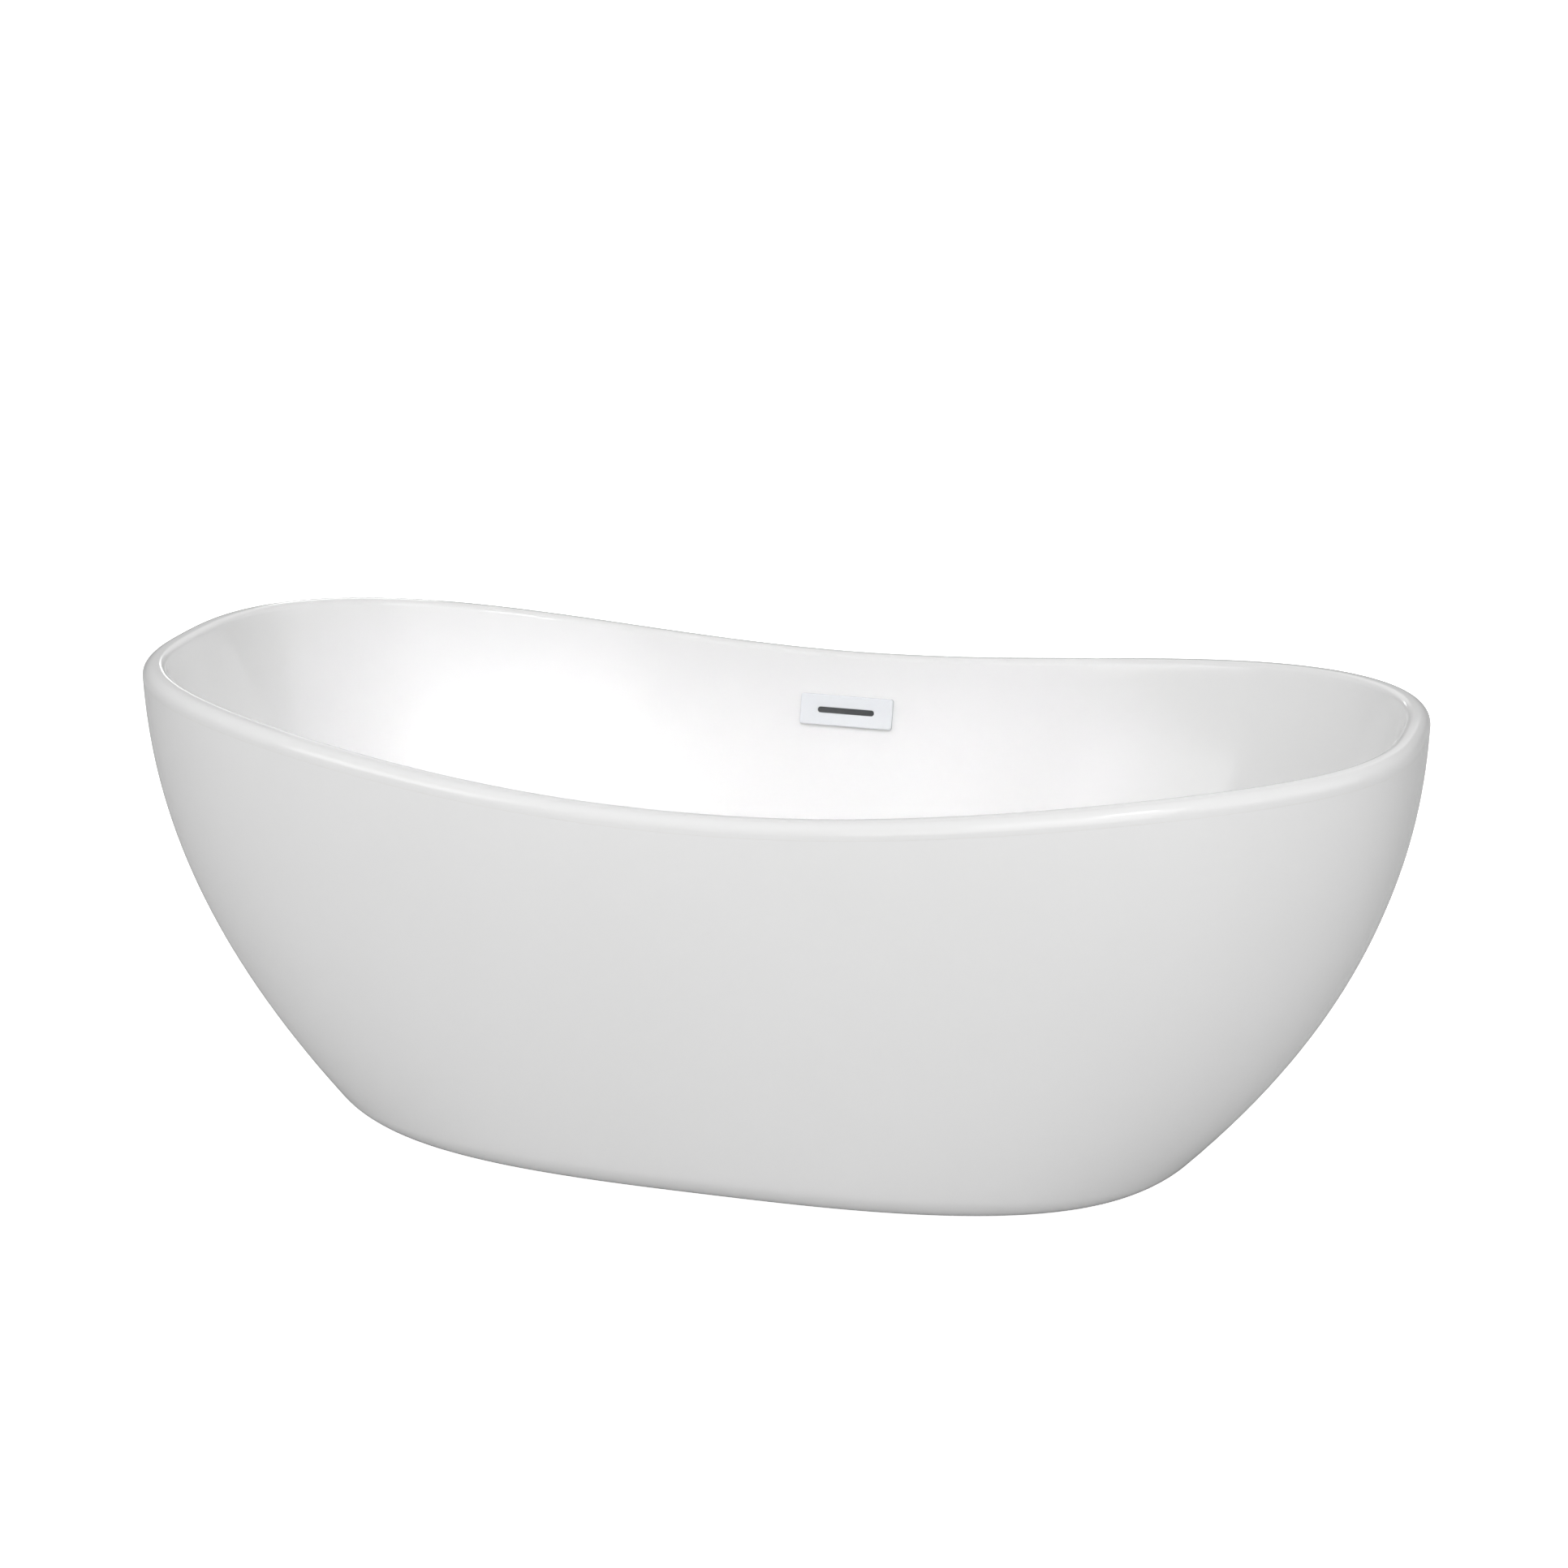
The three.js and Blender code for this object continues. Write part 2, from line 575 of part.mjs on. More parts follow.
// The tee's collar clamps the gasket, its side branch takes the overflow, and its foot the tailpiece.
function teeGeometry() {
  const top = GASKET_TOP - GASKET_THICKNESS - GAP;
  const socket = WASTE_RADIUS + GAP;
  const tail = TAIL_RADIUS + GAP;
  const body = turned([
    [tail, TEE_BOTTOM],
    [TEE_FOOT_RADIUS, TEE_BOTTOM],
    [TEE_FOOT_RADIUS, TEE_SOCKET_TOP + 1],
    [TEE_BODY_RADIUS, TEE_SOCKET_TOP + 3],
    [TEE_BODY_RADIUS, top - 6],
    [SEAL_RADIUS, top - 6],
    [SEAL_RADIUS, top],
    [socket, top],
    [socket, WASTE_BOTTOM - GAP],
    [TEE_BODY_BORE, WASTE_BOTTOM - GAP],
    [TEE_BODY_BORE, TEE_SOCKET_TOP],
    [tail, TEE_SOCKET_TOP],
    [tail, TEE_BOTTOM],
  ]);
  const along = (geometry) => geometry.rotateX(-Math.PI / 2).translate(0, 0, BRANCH_HEIGHT);
  const inside = disc(TEE_BODY_BORE, TEE_SOCKET_TOP + 0.5, WASTE_BOTTOM - 1);
  const branch = along(disc(BRANCH_RADIUS, 16, BRANCH_END, 20));
  const barb = along(disc(BARB_RADIUS, BRANCH_END - 1, BRANCH_END + 22, 20));
  const bore = along(disc(BRANCH_BORE, 5, BRANCH_END + 23, 20));
  const foot = disc(tail, TEE_BOTTOM - 1, TEE_SOCKET_TOP);
  return cut(join(body, branch, barb), inside, foot, bore);
}

const tailpieceGeometry = () =>
  ring(TAIL_RADIUS - 2, TAIL_RADIUS, TAIL_BOTTOM, TEE_SOCKET_TOP - GAP, 32);

// A ribbed nut over the tee's foot, drawn in over the tailpiece below it.
function slipNutGeometry() {
  const body = turned([
    [TAIL_RADIUS + GAP, SLIP_NUT_BOTTOM],
    [SLIP_NUT_RADIUS, SLIP_NUT_BOTTOM],
    [SLIP_NUT_RADIUS, SLIP_NUT_TOP],
    [TEE_FOOT_RADIUS + GAP, SLIP_NUT_TOP],
    [TEE_FOOT_RADIUS + GAP, TEE_BOTTOM - GAP],
    [TAIL_RADIUS + GAP, TEE_BOTTOM - GAP],
    [TAIL_RADIUS + GAP, SLIP_NUT_BOTTOM],
  ]);
  const middle = (SLIP_NUT_BOTTOM + SLIP_NUT_TOP) / 2;
  const ribs = steps(8)
    .slice(0, -1)
    .map((s) => box(3, 5, 13, SLIP_NUT_RADIUS + 0.2, 0, middle).rotateZ(2 * Math.PI * s + 0.2));
  return join(body, ...ribs);
}

// ---- Overflow ----

function roundedRectangle(width, height, round, Path = THREE.Shape) {
  const x = width / 2;
  const y = height / 2;
  const path = new Path();
  path.moveTo(-x + round, -y);
  path.lineTo(x - round, -y);
  path.absarc(x - round, -y + round, round, -Math.PI / 2, 0);
  path.lineTo(x, y - round);
  path.absarc(x - round, y - round, round, 0, Math.PI / 2);
  path.lineTo(-x + round, y);
  path.absarc(-x + round, y - round, round, Math.PI / 2, Math.PI);
  path.lineTo(-x, -y + round);
  path.absarc(-x + round, -y + round, round, Math.PI, 1.5 * Math.PI);
  return path;
}

function plateOf(shape, low, high) {
  const geometry = new THREE.ExtrudeGeometry(shape, {
    depth: high - low,
    bevelEnabled: false,
    curveSegments: 4,
  });
  return geometry.translate(0, 0, low);
}

// A shallow cover, open at the back, with the slot through its face.
function coverGeometry() {
  const faceOutline = roundedRectangle(PLATE_WIDTH - 2, PLATE_HEIGHT - 2, 4);
  const face = plateOf(faceOutline, PLATE_DEPTH - 1.5, PLATE_DEPTH);
  const rim = plateOf(roundedRectangle(PLATE_WIDTH, PLATE_HEIGHT, 5), 1, PLATE_DEPTH - 1);
  const hollow = plateOf(roundedRectangle(PLATE_WIDTH - 5, PLATE_HEIGHT - 5, 3), 0, PLATE_DEPTH - 2);
  const slotRound = SLOT_HEIGHT / 2 - 0.01;
  const slot = plateOf(roundedRectangle(SLOT_WIDTH, SLOT_HEIGHT, slotRound), 0, PLATE_DEPTH + 1);
  return cut(join(face, rim), hollow, slot);
}

// Flange inside the tub, and a spigot through the wall.
const overflowBodyGeometry = () =>
  turned([
    [SPIGOT_BORE, -BASIN_WALL - 10],
    [SPIGOT_RADIUS, -BASIN_WALL - 10],
    [SPIGOT_RADIUS, 1.8],
    [SPIGOT_FLANGE, 1.8],
    [SPIGOT_FLANGE, 4],
    [SPIGOT_BORE, 4],
    [SPIGOT_BORE, -BASIN_WALL - 10],
  ]);

const ELBOW_FRONT = -BASIN_WALL - 2 * GAP - 1.7;
const ELBOW_MIDDLE = ELBOW_FRONT - ELBOW_DEPTH / 2 - 1;

// A round box behind the wall, with a barb down from it for the hose.
function elbowGeometry() {
  const back = ELBOW_FRONT - ELBOW_DEPTH;
  const down = (geometry) => geometry.rotateX(Math.PI / 2).translate(0, 0, ELBOW_MIDDLE);
  const shell = disc(ELBOW_RADIUS, back, ELBOW_FRONT);
  const barb = down(disc(BARB_RADIUS, 10, BARB_END, 20));
  const collar = down(disc(BARB_RADIUS + 1, 14, BARB_START, 20));
  const inside = disc(SPIGOT_RADIUS + GAP, back + 2.5, ELBOW_FRONT + 1);
  return cut(join(shell, barb, collar), inside, down(disc(BRANCH_BORE, 5, BARB_END + 1, 20)));
}

// The hose leaves the tee under the frame, turns up between the shells, and ends on the elbow's barb.
function hoseGeometry() {
  const path = new THREE.CatmullRomCurve3(
    [
      vec(0, BRANCH_END + GAP, BRANCH_HEIGHT),
      vec(0, BRANCH_END + 30, BRANCH_HEIGHT),
      vec(0, 115, BRANCH_HEIGHT),
      vec(0, 195, 58),
      vec(0, 262, 105),
      vec(0, 306, 190),
      vec(0, 343, 300),
      overflowPoint(0, -BARB_START - 60, ELBOW_MIDDLE),
      overflowPoint(0, -BARB_START - 28, ELBOW_MIDDLE),
      overflowPoint(0, -BARB_START - GAP, ELBOW_MIDDLE),
    ],
    false,
    "centripetal",
  );
  return sweep(path, HOSE_RADIUS, 30, 10, HOSE_BORE);
}

// A band round the hose, with the housing of its worm screw. It is made round Z, from its middle.
function clampGeometry() {
  const band = ring(HOSE_RADIUS + GAP, HOSE_RADIUS + 1.3, -4, 4);
  return join(band, box(7, 12, 7, HOSE_RADIUS + 4.2, 0, 0));
}

// ---- Assembly ----

const tub = new THREE.Group();
function add(name, geometry, material) {
  const mesh = new THREE.Mesh(geometry, material);
  mesh.name = name;
  tub.add(mesh);
  return mesh;
}

const paint = (color, roughness, metalness = 0) =>
  new THREE.MeshStandardMaterial({ color, roughness, metalness });
const ACRYLIC = paint(0xf4f4f3, 0.12);
const BOARD = paint(0xb08d5e, 0.8);
const FRAME_STEEL = paint(0x8d9094, 0.5, 0.6);
const ZINC = paint(0xb9bcc0, 0.35, 0.9);
const CHROME = paint(0xd6d8da, 0.08, 1);
const WHITE_PLASTIC = paint(0xeef0f2, 0.2);
const WASTE_PLASTIC = paint(0xe3e4e2, 0.45);
const HOSE_PLASTIC = paint(0xc9ccce, 0.55);
const RUBBER = paint(0x1d1d1f, 0.85);
const SPRING_STEEL = paint(0xa9adb2, 0.3, 1);

add("basin", basinGeometry(), ACRYLIC);
add("skirt", skirtGeometry(), ACRYLIC);
add("floor_board", boardGeometry(), BOARD);

add("frame_rail_front", railGeometry(-RAIL_Y), FRAME_STEEL);
add("frame_rail_rear", railGeometry(RAIL_Y), FRAME_STEEL);
add("frame_cross_1", crossGeometry(-OUTER_CROSS_X, true), FRAME_STEEL);
add("frame_cross_2", crossGeometry(-INNER_CROSS_X, false), FRAME_STEEL);
add("frame_cross_3", crossGeometry(INNER_CROSS_X, false), FRAME_STEEL);
add("frame_cross_4", crossGeometry(OUTER_CROSS_X, true), FRAME_STEEL);

// Corners are numbered from the front left round to the front right.
const CORNERS = [
  [-1, -1],
  [-1, 1],
  [1, 1],
  [1, -1],
];
CORNERS.forEach(([right, rear], i) => {
  const x = right * OUTER_CROSS_X;
  const atFoot = (geometry) => geometry.translate(x, rear * FOOT_Y, 0);
  const atEnd = (geometry) => geometry.rotateZ(rear < 0 ? Math.PI : 0).translate(x, 0, 0);
  add(`foot_${i + 1}_pad`, atFoot(padGeometry()), RUBBER);
  add(`foot_${i + 1}_stud`, atFoot(studGeometry()), ZINC);
  add(`foot_${i + 1}_nut`, atFoot(nutGeometry()), ZINC);
  add(`skirt_bracket_${i + 1}`, atEnd(bracketGeometry()), ZINC);
  add(`bracket_bolt_${i + 1}`, atEnd(boltGeometry()), ZINC);
});

add("waste_flange", wasteFlangeGeometry(), CHROME);
const atWaste = (low, high) => ring(WASTE_RADIUS + GAP, SEAL_RADIUS, low, high);
add("waste_seal", atWaste(RECESS_FLOOR + GAP, RECESS_FLOOR + 1.5), RUBBER);
add("waste_gasket", atWaste(GASKET_TOP - GASKET_THICKNESS, GASKET_TOP), RUBBER);
add("waste_tee", teeGeometry(), WASTE_PLASTIC);
add("waste_tailpiece", tailpieceGeometry(), WASTE_PLASTIC);
add("waste_slip_nut", slipNutGeometry(), WASTE_PLASTIC);

add("stopper_cap", capGeometry(), WHITE_PLASTIC);
const sealRing = ring(PLUG_RADIUS + GAP, WASTE_BORE - 0.5, PLUG_BOTTOM + 1, CAP_UNDERSIDE - GAP);
add("stopper_seal", sealRing, RUBBER);
add("stopper_stem", disc(STEM_RADIUS, HUB_BOTTOM, CAP_UNDERSIDE + 1 - GAP, 24), ZINC);
add("stopper_cartridge", cartridgeGeometry(), WASTE_PLASTIC);
add("stopper_spring", springGeometry(), SPRING_STEEL);

add("overflow_cover", atOverflow(coverGeometry()), WHITE_PLASTIC);
add("overflow_body", atOverflow(overflowBodyGeometry()), WASTE_PLASTIC);
const roundSpigot = (outer, low, high) => atOverflow(ring(SPIGOT_RADIUS + GAP, outer, low, high));
add("overflow_seal", roundSpigot(SPIGOT_FLANGE, 0.6, 1.5), RUBBER);
add("overflow_gasket", roundSpigot(ELBOW_RADIUS, ELBOW_FRONT + GAP, -BASIN_WALL - GAP), RUBBER);
add("overflow_elbow", atOverflow(elbowGeometry()), WASTE_PLASTIC);
add("overflow_hose", hoseGeometry(), HOSE_PLASTIC);
const lowerClamp = clampGeometry().rotateX(Math.PI / 2);
add("hose_clamp_lower", lowerClamp.translate(0, BRANCH_END + 10, BRANCH_HEIGHT), ZINC);
const upperClamp = clampGeometry().rotateX(Math.PI / 2);
add("hose_clamp_upper", atOverflow(upperClamp.translate(0, -BARB_START - 12, ELBOW_MIDDLE)), ZINC);

export default tub;
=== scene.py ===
"""The freestanding bathtub's looks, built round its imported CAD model.

Lengths are in millimetres until mesh_of() makes them metres. Materials, the camera and lamps are in metres.
"""

import json
import math

import bmesh
import bpy
import numpy as np
from mathutils import Matrix, Vector


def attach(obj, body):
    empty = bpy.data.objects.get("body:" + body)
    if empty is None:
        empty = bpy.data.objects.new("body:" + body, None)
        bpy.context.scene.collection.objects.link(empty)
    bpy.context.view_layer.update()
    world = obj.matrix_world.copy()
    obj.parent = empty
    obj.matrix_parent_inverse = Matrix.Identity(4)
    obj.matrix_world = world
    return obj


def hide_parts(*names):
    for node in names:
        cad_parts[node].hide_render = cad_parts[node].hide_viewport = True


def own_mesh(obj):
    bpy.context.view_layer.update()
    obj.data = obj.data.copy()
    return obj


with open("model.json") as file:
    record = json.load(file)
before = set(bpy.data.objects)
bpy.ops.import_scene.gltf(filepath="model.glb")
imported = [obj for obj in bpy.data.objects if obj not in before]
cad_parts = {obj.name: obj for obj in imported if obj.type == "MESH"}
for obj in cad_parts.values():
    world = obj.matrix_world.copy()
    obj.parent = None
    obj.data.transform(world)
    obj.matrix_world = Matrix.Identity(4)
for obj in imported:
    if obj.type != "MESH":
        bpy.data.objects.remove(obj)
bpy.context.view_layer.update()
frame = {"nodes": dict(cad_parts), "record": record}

# ---- The tub's dimensions, as in the CAD source ----

HALF_LENGTH, HALF_WIDTH = 825.0, 407.5
RIM_END_HEIGHT, RIM_MIDDLE_HEIGHT = 600.0, 536.0
RIM_WAVE = 0.9 * math.pi
RIM_POWER, BASE_POWER = 2.65, 2.85
RIM_OUTER_ROUND, RIM_INNER_ROUND, RIM_TOP_FLAT = 15.0, 10.0, 5.0
RIM_WIDTH = RIM_OUTER_ROUND + RIM_TOP_FLAT + RIM_INNER_ROUND
LIP_DROP, BOND_DROP, BOND_THICKNESS = 20.0, 45.0, 4.0
WALL = 6.0
END_TAPER, END_TAPER_POWER = 286.0, 2.2
SIDE_TAPER, SIDE_TAPER_POWER = 104.5, 1.5
SKIRT_CLEARANCE, BASE_ROUND, BASE_FLANGE = 2.0, 38.0, 20.0
FLOOR_HALF_LENGTH, FLOOR_HALF_WIDTH = 430.0, 150.0
FLOOR_EDGE, FLOOR_DRAIN, RECESS_DEPTH = 118.0, 115.0, 3.0
RECESS_RADIUS, DRAIN_HOLE = 42.0, 26.0
WALL_LEAN = math.radians(12.5)
WALL_TOP_RUN, WALL_TOP_RISE, WALL_FOOT_RUN = 52.0, 0.45, 0.55
OVERFLOW_SHARE = 0.896  # how far up the far wall the overflow sits

SEGMENTS = 288  # round a shell
GAP = 0.3  # between solids that touch, as in the CAD source
MM = 0.001  # a millimetre in Blender's metres


def steps(count):
    """Numbers from 0 to 1 in a count of equal steps."""
    return [i / count for i in range(count + 1)]


def lerp(a, b, t):
    return a + (b - a) * t


def arc(low, high, count):
    """Numbers at equal steps, such as the angles along an arc."""
    return [lerp(low, high, s) for s in steps(count)]


# ---- Meshes ----


def mesh_of(name, points, faces, body, materials, sharp, face_materials=None):
    """A shown piece from points in millimetres, welded, facing out, and riding on a body."""
    mesh = bpy.data.meshes.new(name)
    mesh.from_pydata([tuple(p) for p in np.asarray(points, float) * MM], [], [tuple(f) for f in faces])
    for m in materials:
        mesh.materials.append(m)
    if face_materials is not None:
        mesh.polygons.foreach_set("material_index", face_materials)
    work = bmesh.new()
    work.from_mesh(mesh)
    bmesh.ops.remove_doubles(work, verts=work.verts, dist=1e-6)
    bmesh.ops.dissolve_degenerate(work, edges=work.edges, dist=1e-7)
    bmesh.ops.recalc_face_normals(work, faces=work.faces)
    work.to_mesh(mesh)
    work.free()
    mesh.polygons.foreach_set("use_smooth", [True] * len(mesh.polygons))
    mesh.set_sharp_from_angle(angle=math.radians(sharp))
    obj = bpy.data.objects.new(name, mesh)
    bpy.context.scene.collection.objects.link(obj)
    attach(obj, body)
    return obj


def stands_for(piece, node):
    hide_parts(node)
    return piece


def grid_faces(rings, around, close=True, start=0):
    """Quads between rings of points. If close, the last ring joins the first."""
    faces = []
    for i in range(rings if close else rings - 1):
        low, high = i * around, ((i + 1) % rings) * around
        for j in range(around):
            k = (j + 1) % around
            faces.append((start + low + j, start + low + k, start + high + k, start + high + j))
    return faces


class Solid:
    """Points and faces gathered from several closed surfaces, to make one piece."""

    def __init__(self):
        self.points, self.faces = [], []

    def rings(self, rings, close=True, caps=False, move=None):
        around = len(rings[0])
        points = np.concatenate([np.asarray(r, float) for r in rings])
        if move is not None:
            points = np.array([move @ Vector(p) for p in points])
        start = len(self.points)
        self.points.extend(points.tolist())
        self.faces.extend(grid_faces(len(rings), around, close, start))
        if caps:
            last = start + (len(rings) - 1) * around
            self.faces.append(tuple(start + j for j in range(around))[::-1])
            self.faces.append(tuple(last + j for j in range(around)))
        return self

    def piece(self, name, slot, body="tub", material=None, sharp=35.0):
        return mesh_of(name, self.points, self.faces, body, [material or MATERIALS[slot]], sharp)


def angles(count):
    return np.arange(count) * 2 * math.pi / count


def polar(a, radius, height):
    """Points round the Z axis at the angles a. A radius or a height is one number, or one a point."""
    return np.stack([radius * np.cos(a), radius * np.sin(a), np.broadcast_to(height, a.shape)], 1)


def circle(radius, height, around):
    return polar(angles(around), radius, height)


ARC_BITS = 3  # the straight bits of a small rounded corner


def rounded(points, radius, closed=True):
    """A profile with each corner turned into a small arc."""
    out = []
    count = len(points)
    for i, p in enumerate(points):
        p = np.array(p, float)
        if not closed and i in (0, count - 1):
            out.append(p)
            continue
        a, b = np.array(points[i - 1], float) - p, np.array(points[(i + 1) % count], float) - p
        la, lb = np.linalg.norm(a), np.linalg.norm(b)
        cosine = float(np.clip(a @ b / (la * lb), -1, 1))
        half = math.acos(cosine) / 2
        if half > math.radians(80):
            out.append(p)
            continue
        reach = min(radius / math.tan(half), 0.45 * la, 0.45 * lb)
        start, end = p + a / la * reach, p + b / lb * reach
        for t in steps(ARC_BITS):
            out.append((1 - t) ** 2 * start + 2 * (1 - t) * t * p + t * t * end)
    return out


def lathe(solid, points, around, round_by, move=None, on_axis=False):
    """A turned shape from [radius, height] points. It closes on itself, or starts and ends on the axis."""
    profile = rounded(points, round_by, closed=not on_axis)
    rings = [circle(max(r, 0.0), z, around) for r, z in profile]
    return solid.rings(rings, close=not on_axis, move=move)


def ring(solid, inner, outer, low, high, around, round_by, move=None):
    return lathe(solid, [(inner, low), (outer, low), (outer, high), (inner, high)], around, round_by, move)


def block(solid, size, centre, bevel, move):
    """A box with bevelled edges."""
    x, y, z = (s / 2 for s in size)
    b = min(bevel, x * 0.5, y * 0.5, z * 0.5)

    def outline(inset, height):
        loop = []
        for i, (sx, sy) in enumerate(((1, 1), (-1, 1), (-1, -1), (1, -1))):
            for t in steps(ARC_BITS):
                turn = (i + t) * math.pi / 2
                across, along = (b - inset) * math.cos(turn), (b - inset) * math.sin(turn)
                loop.append((sx * (x - b) + across, sy * (y - b) + along, height))
        return np.array(loop) + np.array(centre)

    levels = [(b, -z), (b * 0.3, -z + b * 0.3), (0, -z + b), (0, z - b), (b * 0.3, z - b * 0.3), (b, z)]
    return solid.rings([outline(i, h) for i, h in levels], close=False, caps=True, move=move)


def hexagon(solid, across, low, high, bore=0.0, *, move):
    """A hexagon nut or bolt head, with its corners turned away at both ends."""
    chamfer_slope = math.tan(math.radians(28))
    a = angles(72)
    flat = across / 2 / np.cos((a + math.pi / 6) % (math.pi / 3) - math.pi / 6)
    edge = across / 2 * 0.97
    slope = np.clip((flat - edge) * chamfer_slope, 0, None)
    edge_break = 0.3 if bore else 0.0  # the bore's small chamfer, as deep as this
    mouth = bore + (0.5 if bore else 0.0)

    half = [(bore, edge_break), (mouth, 0), (edge, 0), (flat, slope)]
    rings = [polar(a, radius, low + up) for radius, up in half]
    rings += [polar(a, radius, high - down) for radius, down in half[::-1]]
    return solid.rings(rings, close=bore > 0, move=move)


def threaded(solid, radius, low, high, pitch, around=28, *, move):
    """A screw thread, cut down to its root at both ends."""
    depth = pitch * 0.55
    rings_a_turn = 6
    a = angles(around)
    rings = [circle(0.0, low, around)]
    count = int((high - low) / pitch * rings_a_turn)
    for i in range(count + 1):
        z = lerp(low, high, i / count)
        phase = (z / pitch - a / (2 * math.pi)) % 1.0
        tooth = np.clip(1.35 * np.abs(phase - 0.5) * 2 - 0.12, 0, 1)
        end = np.clip(min(z - low, high - z) / pitch, 0, 1)
        r = radius - depth * (1 - tooth) - depth * (1 - end) * tooth
        rings.append(polar(a, r, z))
    rings.append(circle(0.0, high, around))
    return solid.rings(rings, close=False, move=move)


# ---- The tub's form ----

ROUND = angles(SEGMENTS)


def plan(angle, half_length, half_width, power, height):
    """A superellipse round the tub at a height. A power of 2 is an ellipse, and more is squarer."""
    c, s = np.cos(angle), np.sin(angle)
    reach = (np.abs(c) ** power + np.abs(s) ** power) ** (-1 / power)
    return np.stack([half_length * reach * c, half_width * reach * s, np.broadcast_to(height, c.shape)], 1)


def rim_height(angle):
    share = np.abs(plan(angle, 1, 1, RIM_POWER, 0)[:, 0])
    climb = (1 - np.cos(RIM_WAVE * share)) / (1 - math.cos(RIM_WAVE))
    return lerp(RIM_MIDDLE_HEIGHT, RIM_END_HEIGHT, climb)


def rim(inset, drop):
    return plan(ROUND, HALF_LENGTH - inset, HALF_WIDTH - inset, RIM_POWER, rim_height(ROUND) - drop)


def outer(angle, height, inset=0.0):
    """The outside of the skirt at a height, drawn in by an inset."""
    left = 1 - height / rim_height(angle)
    end_share = left**END_TAPER_POWER
    power = lerp(RIM_POWER, BASE_POWER, end_share)
    c, s = np.cos(angle), np.sin(angle)
    reach = (np.abs(c) ** power + np.abs(s) ** power) ** (-1 / power)
    x = (HALF_LENGTH - END_TAPER * end_share - inset) * reach * c
    y = (HALF_WIDTH - SIDE_TAPER * left**SIDE_TAPER_POWER - inset) * reach * s
    return np.stack([x, y, np.broadcast_to(height, c.shape)], 1)


def bezier(t, a, b, c, d):
    return (1 - t) ** 3 * a + 3 * (1 - t) ** 2 * t * b + 3 * (1 - t) * t**2 * c + t**3 * d


WALL_TOP_INSET = RIM_WIDTH - RIM_INNER_ROUND * (1 - math.cos(WALL_LEAN))
WALL_TOP_DROP = RIM_INNER_ROUND * (1 - math.sin(WALL_LEAN))


def basin_wall(angle, share):
    """The inner wall, from the floor's edge at share 0 to the rim's roll at share 1."""
    top_length, top_width = HALF_LENGTH - WALL_TOP_INSET, HALF_WIDTH - WALL_TOP_INSET
    end_run, side_run = top_length - FLOOR_HALF_LENGTH, top_width - FLOOR_HALF_WIDTH
    top = rim_height(angle) - WALL_TOP_DROP
    return plan(
        angle,
        top_length - bezier(share, end_run, end_run * WALL_FOOT_RUN, WALL_TOP_RUN, 0),
        top_width - bezier(share, side_run, side_run * WALL_FOOT_RUN, WALL_TOP_RUN, 0),
        RIM_POWER,
        lerp(FLOOR_EDGE, top, bezier(share, 0, 0, WALL_TOP_RISE, 1)),
    )


def basin_floor(angle, share):
    """The basin's floor, from the recess at share 0 to the floor's edge at share 1."""
    return plan(
        angle,
        lerp(RECESS_RADIUS, FLOOR_HALF_LENGTH, share),
        lerp(RECESS_RADIUS, FLOOR_HALF_WIDTH, share),
        lerp(2, RIM_POWER, share),
        lerp(FLOOR_DRAIN, FLOOR_EDGE, share),
    )


def behind(surface, angle, share, depth):
    """Points a given depth behind a surface, on the side away from its outward and upward sweep."""
    step = 1e-4
    across = surface(angle + step, share) - surface(angle - step, share)
    along = surface(angle, min(share + step, 1)) - surface(angle, max(share - step, 0))
    normal = np.cross(across, along)
    return surface(angle, share) + depth * normal / np.linalg.norm(normal, axis=1)[:, None]


def skirt_corner(angle, share):
    """The round at the skirt's foot, from the flange at share 0 to the wall at share 1."""
    turn = share * math.pi / 2
    height = SKIRT_CLEARANCE + BASE_ROUND * (1 - math.cos(turn))
    return outer(angle, height, BASE_ROUND * (1 - math.sin(turn)))


SEAM = 0.08  # between the rim's lip and the skirt's top, where the joint is filled and polished


def skirt_wall(angle, share):
    """The outer wall, from its foot's round at share 0 to the rim's lip at share 1."""
    top = rim_height(angle) - LIP_DROP - SEAM
    return outer(angle, lerp(SKIRT_CLEARANCE + BASE_ROUND, top, share))


# ---- Materials ----

NOISE_LOW, NOISE_HIGH = 0.3, 0.7  # most of a noise's values lie between these


def set_range(node, from_low, from_high, low, high):
    """Fills in a Map Range node."""
    numbers = {"From Min": from_low, "From Max": from_high, "To Min": low, "To Max": high}
    for key, number in numbers.items():
        node.inputs[key].default_value = number


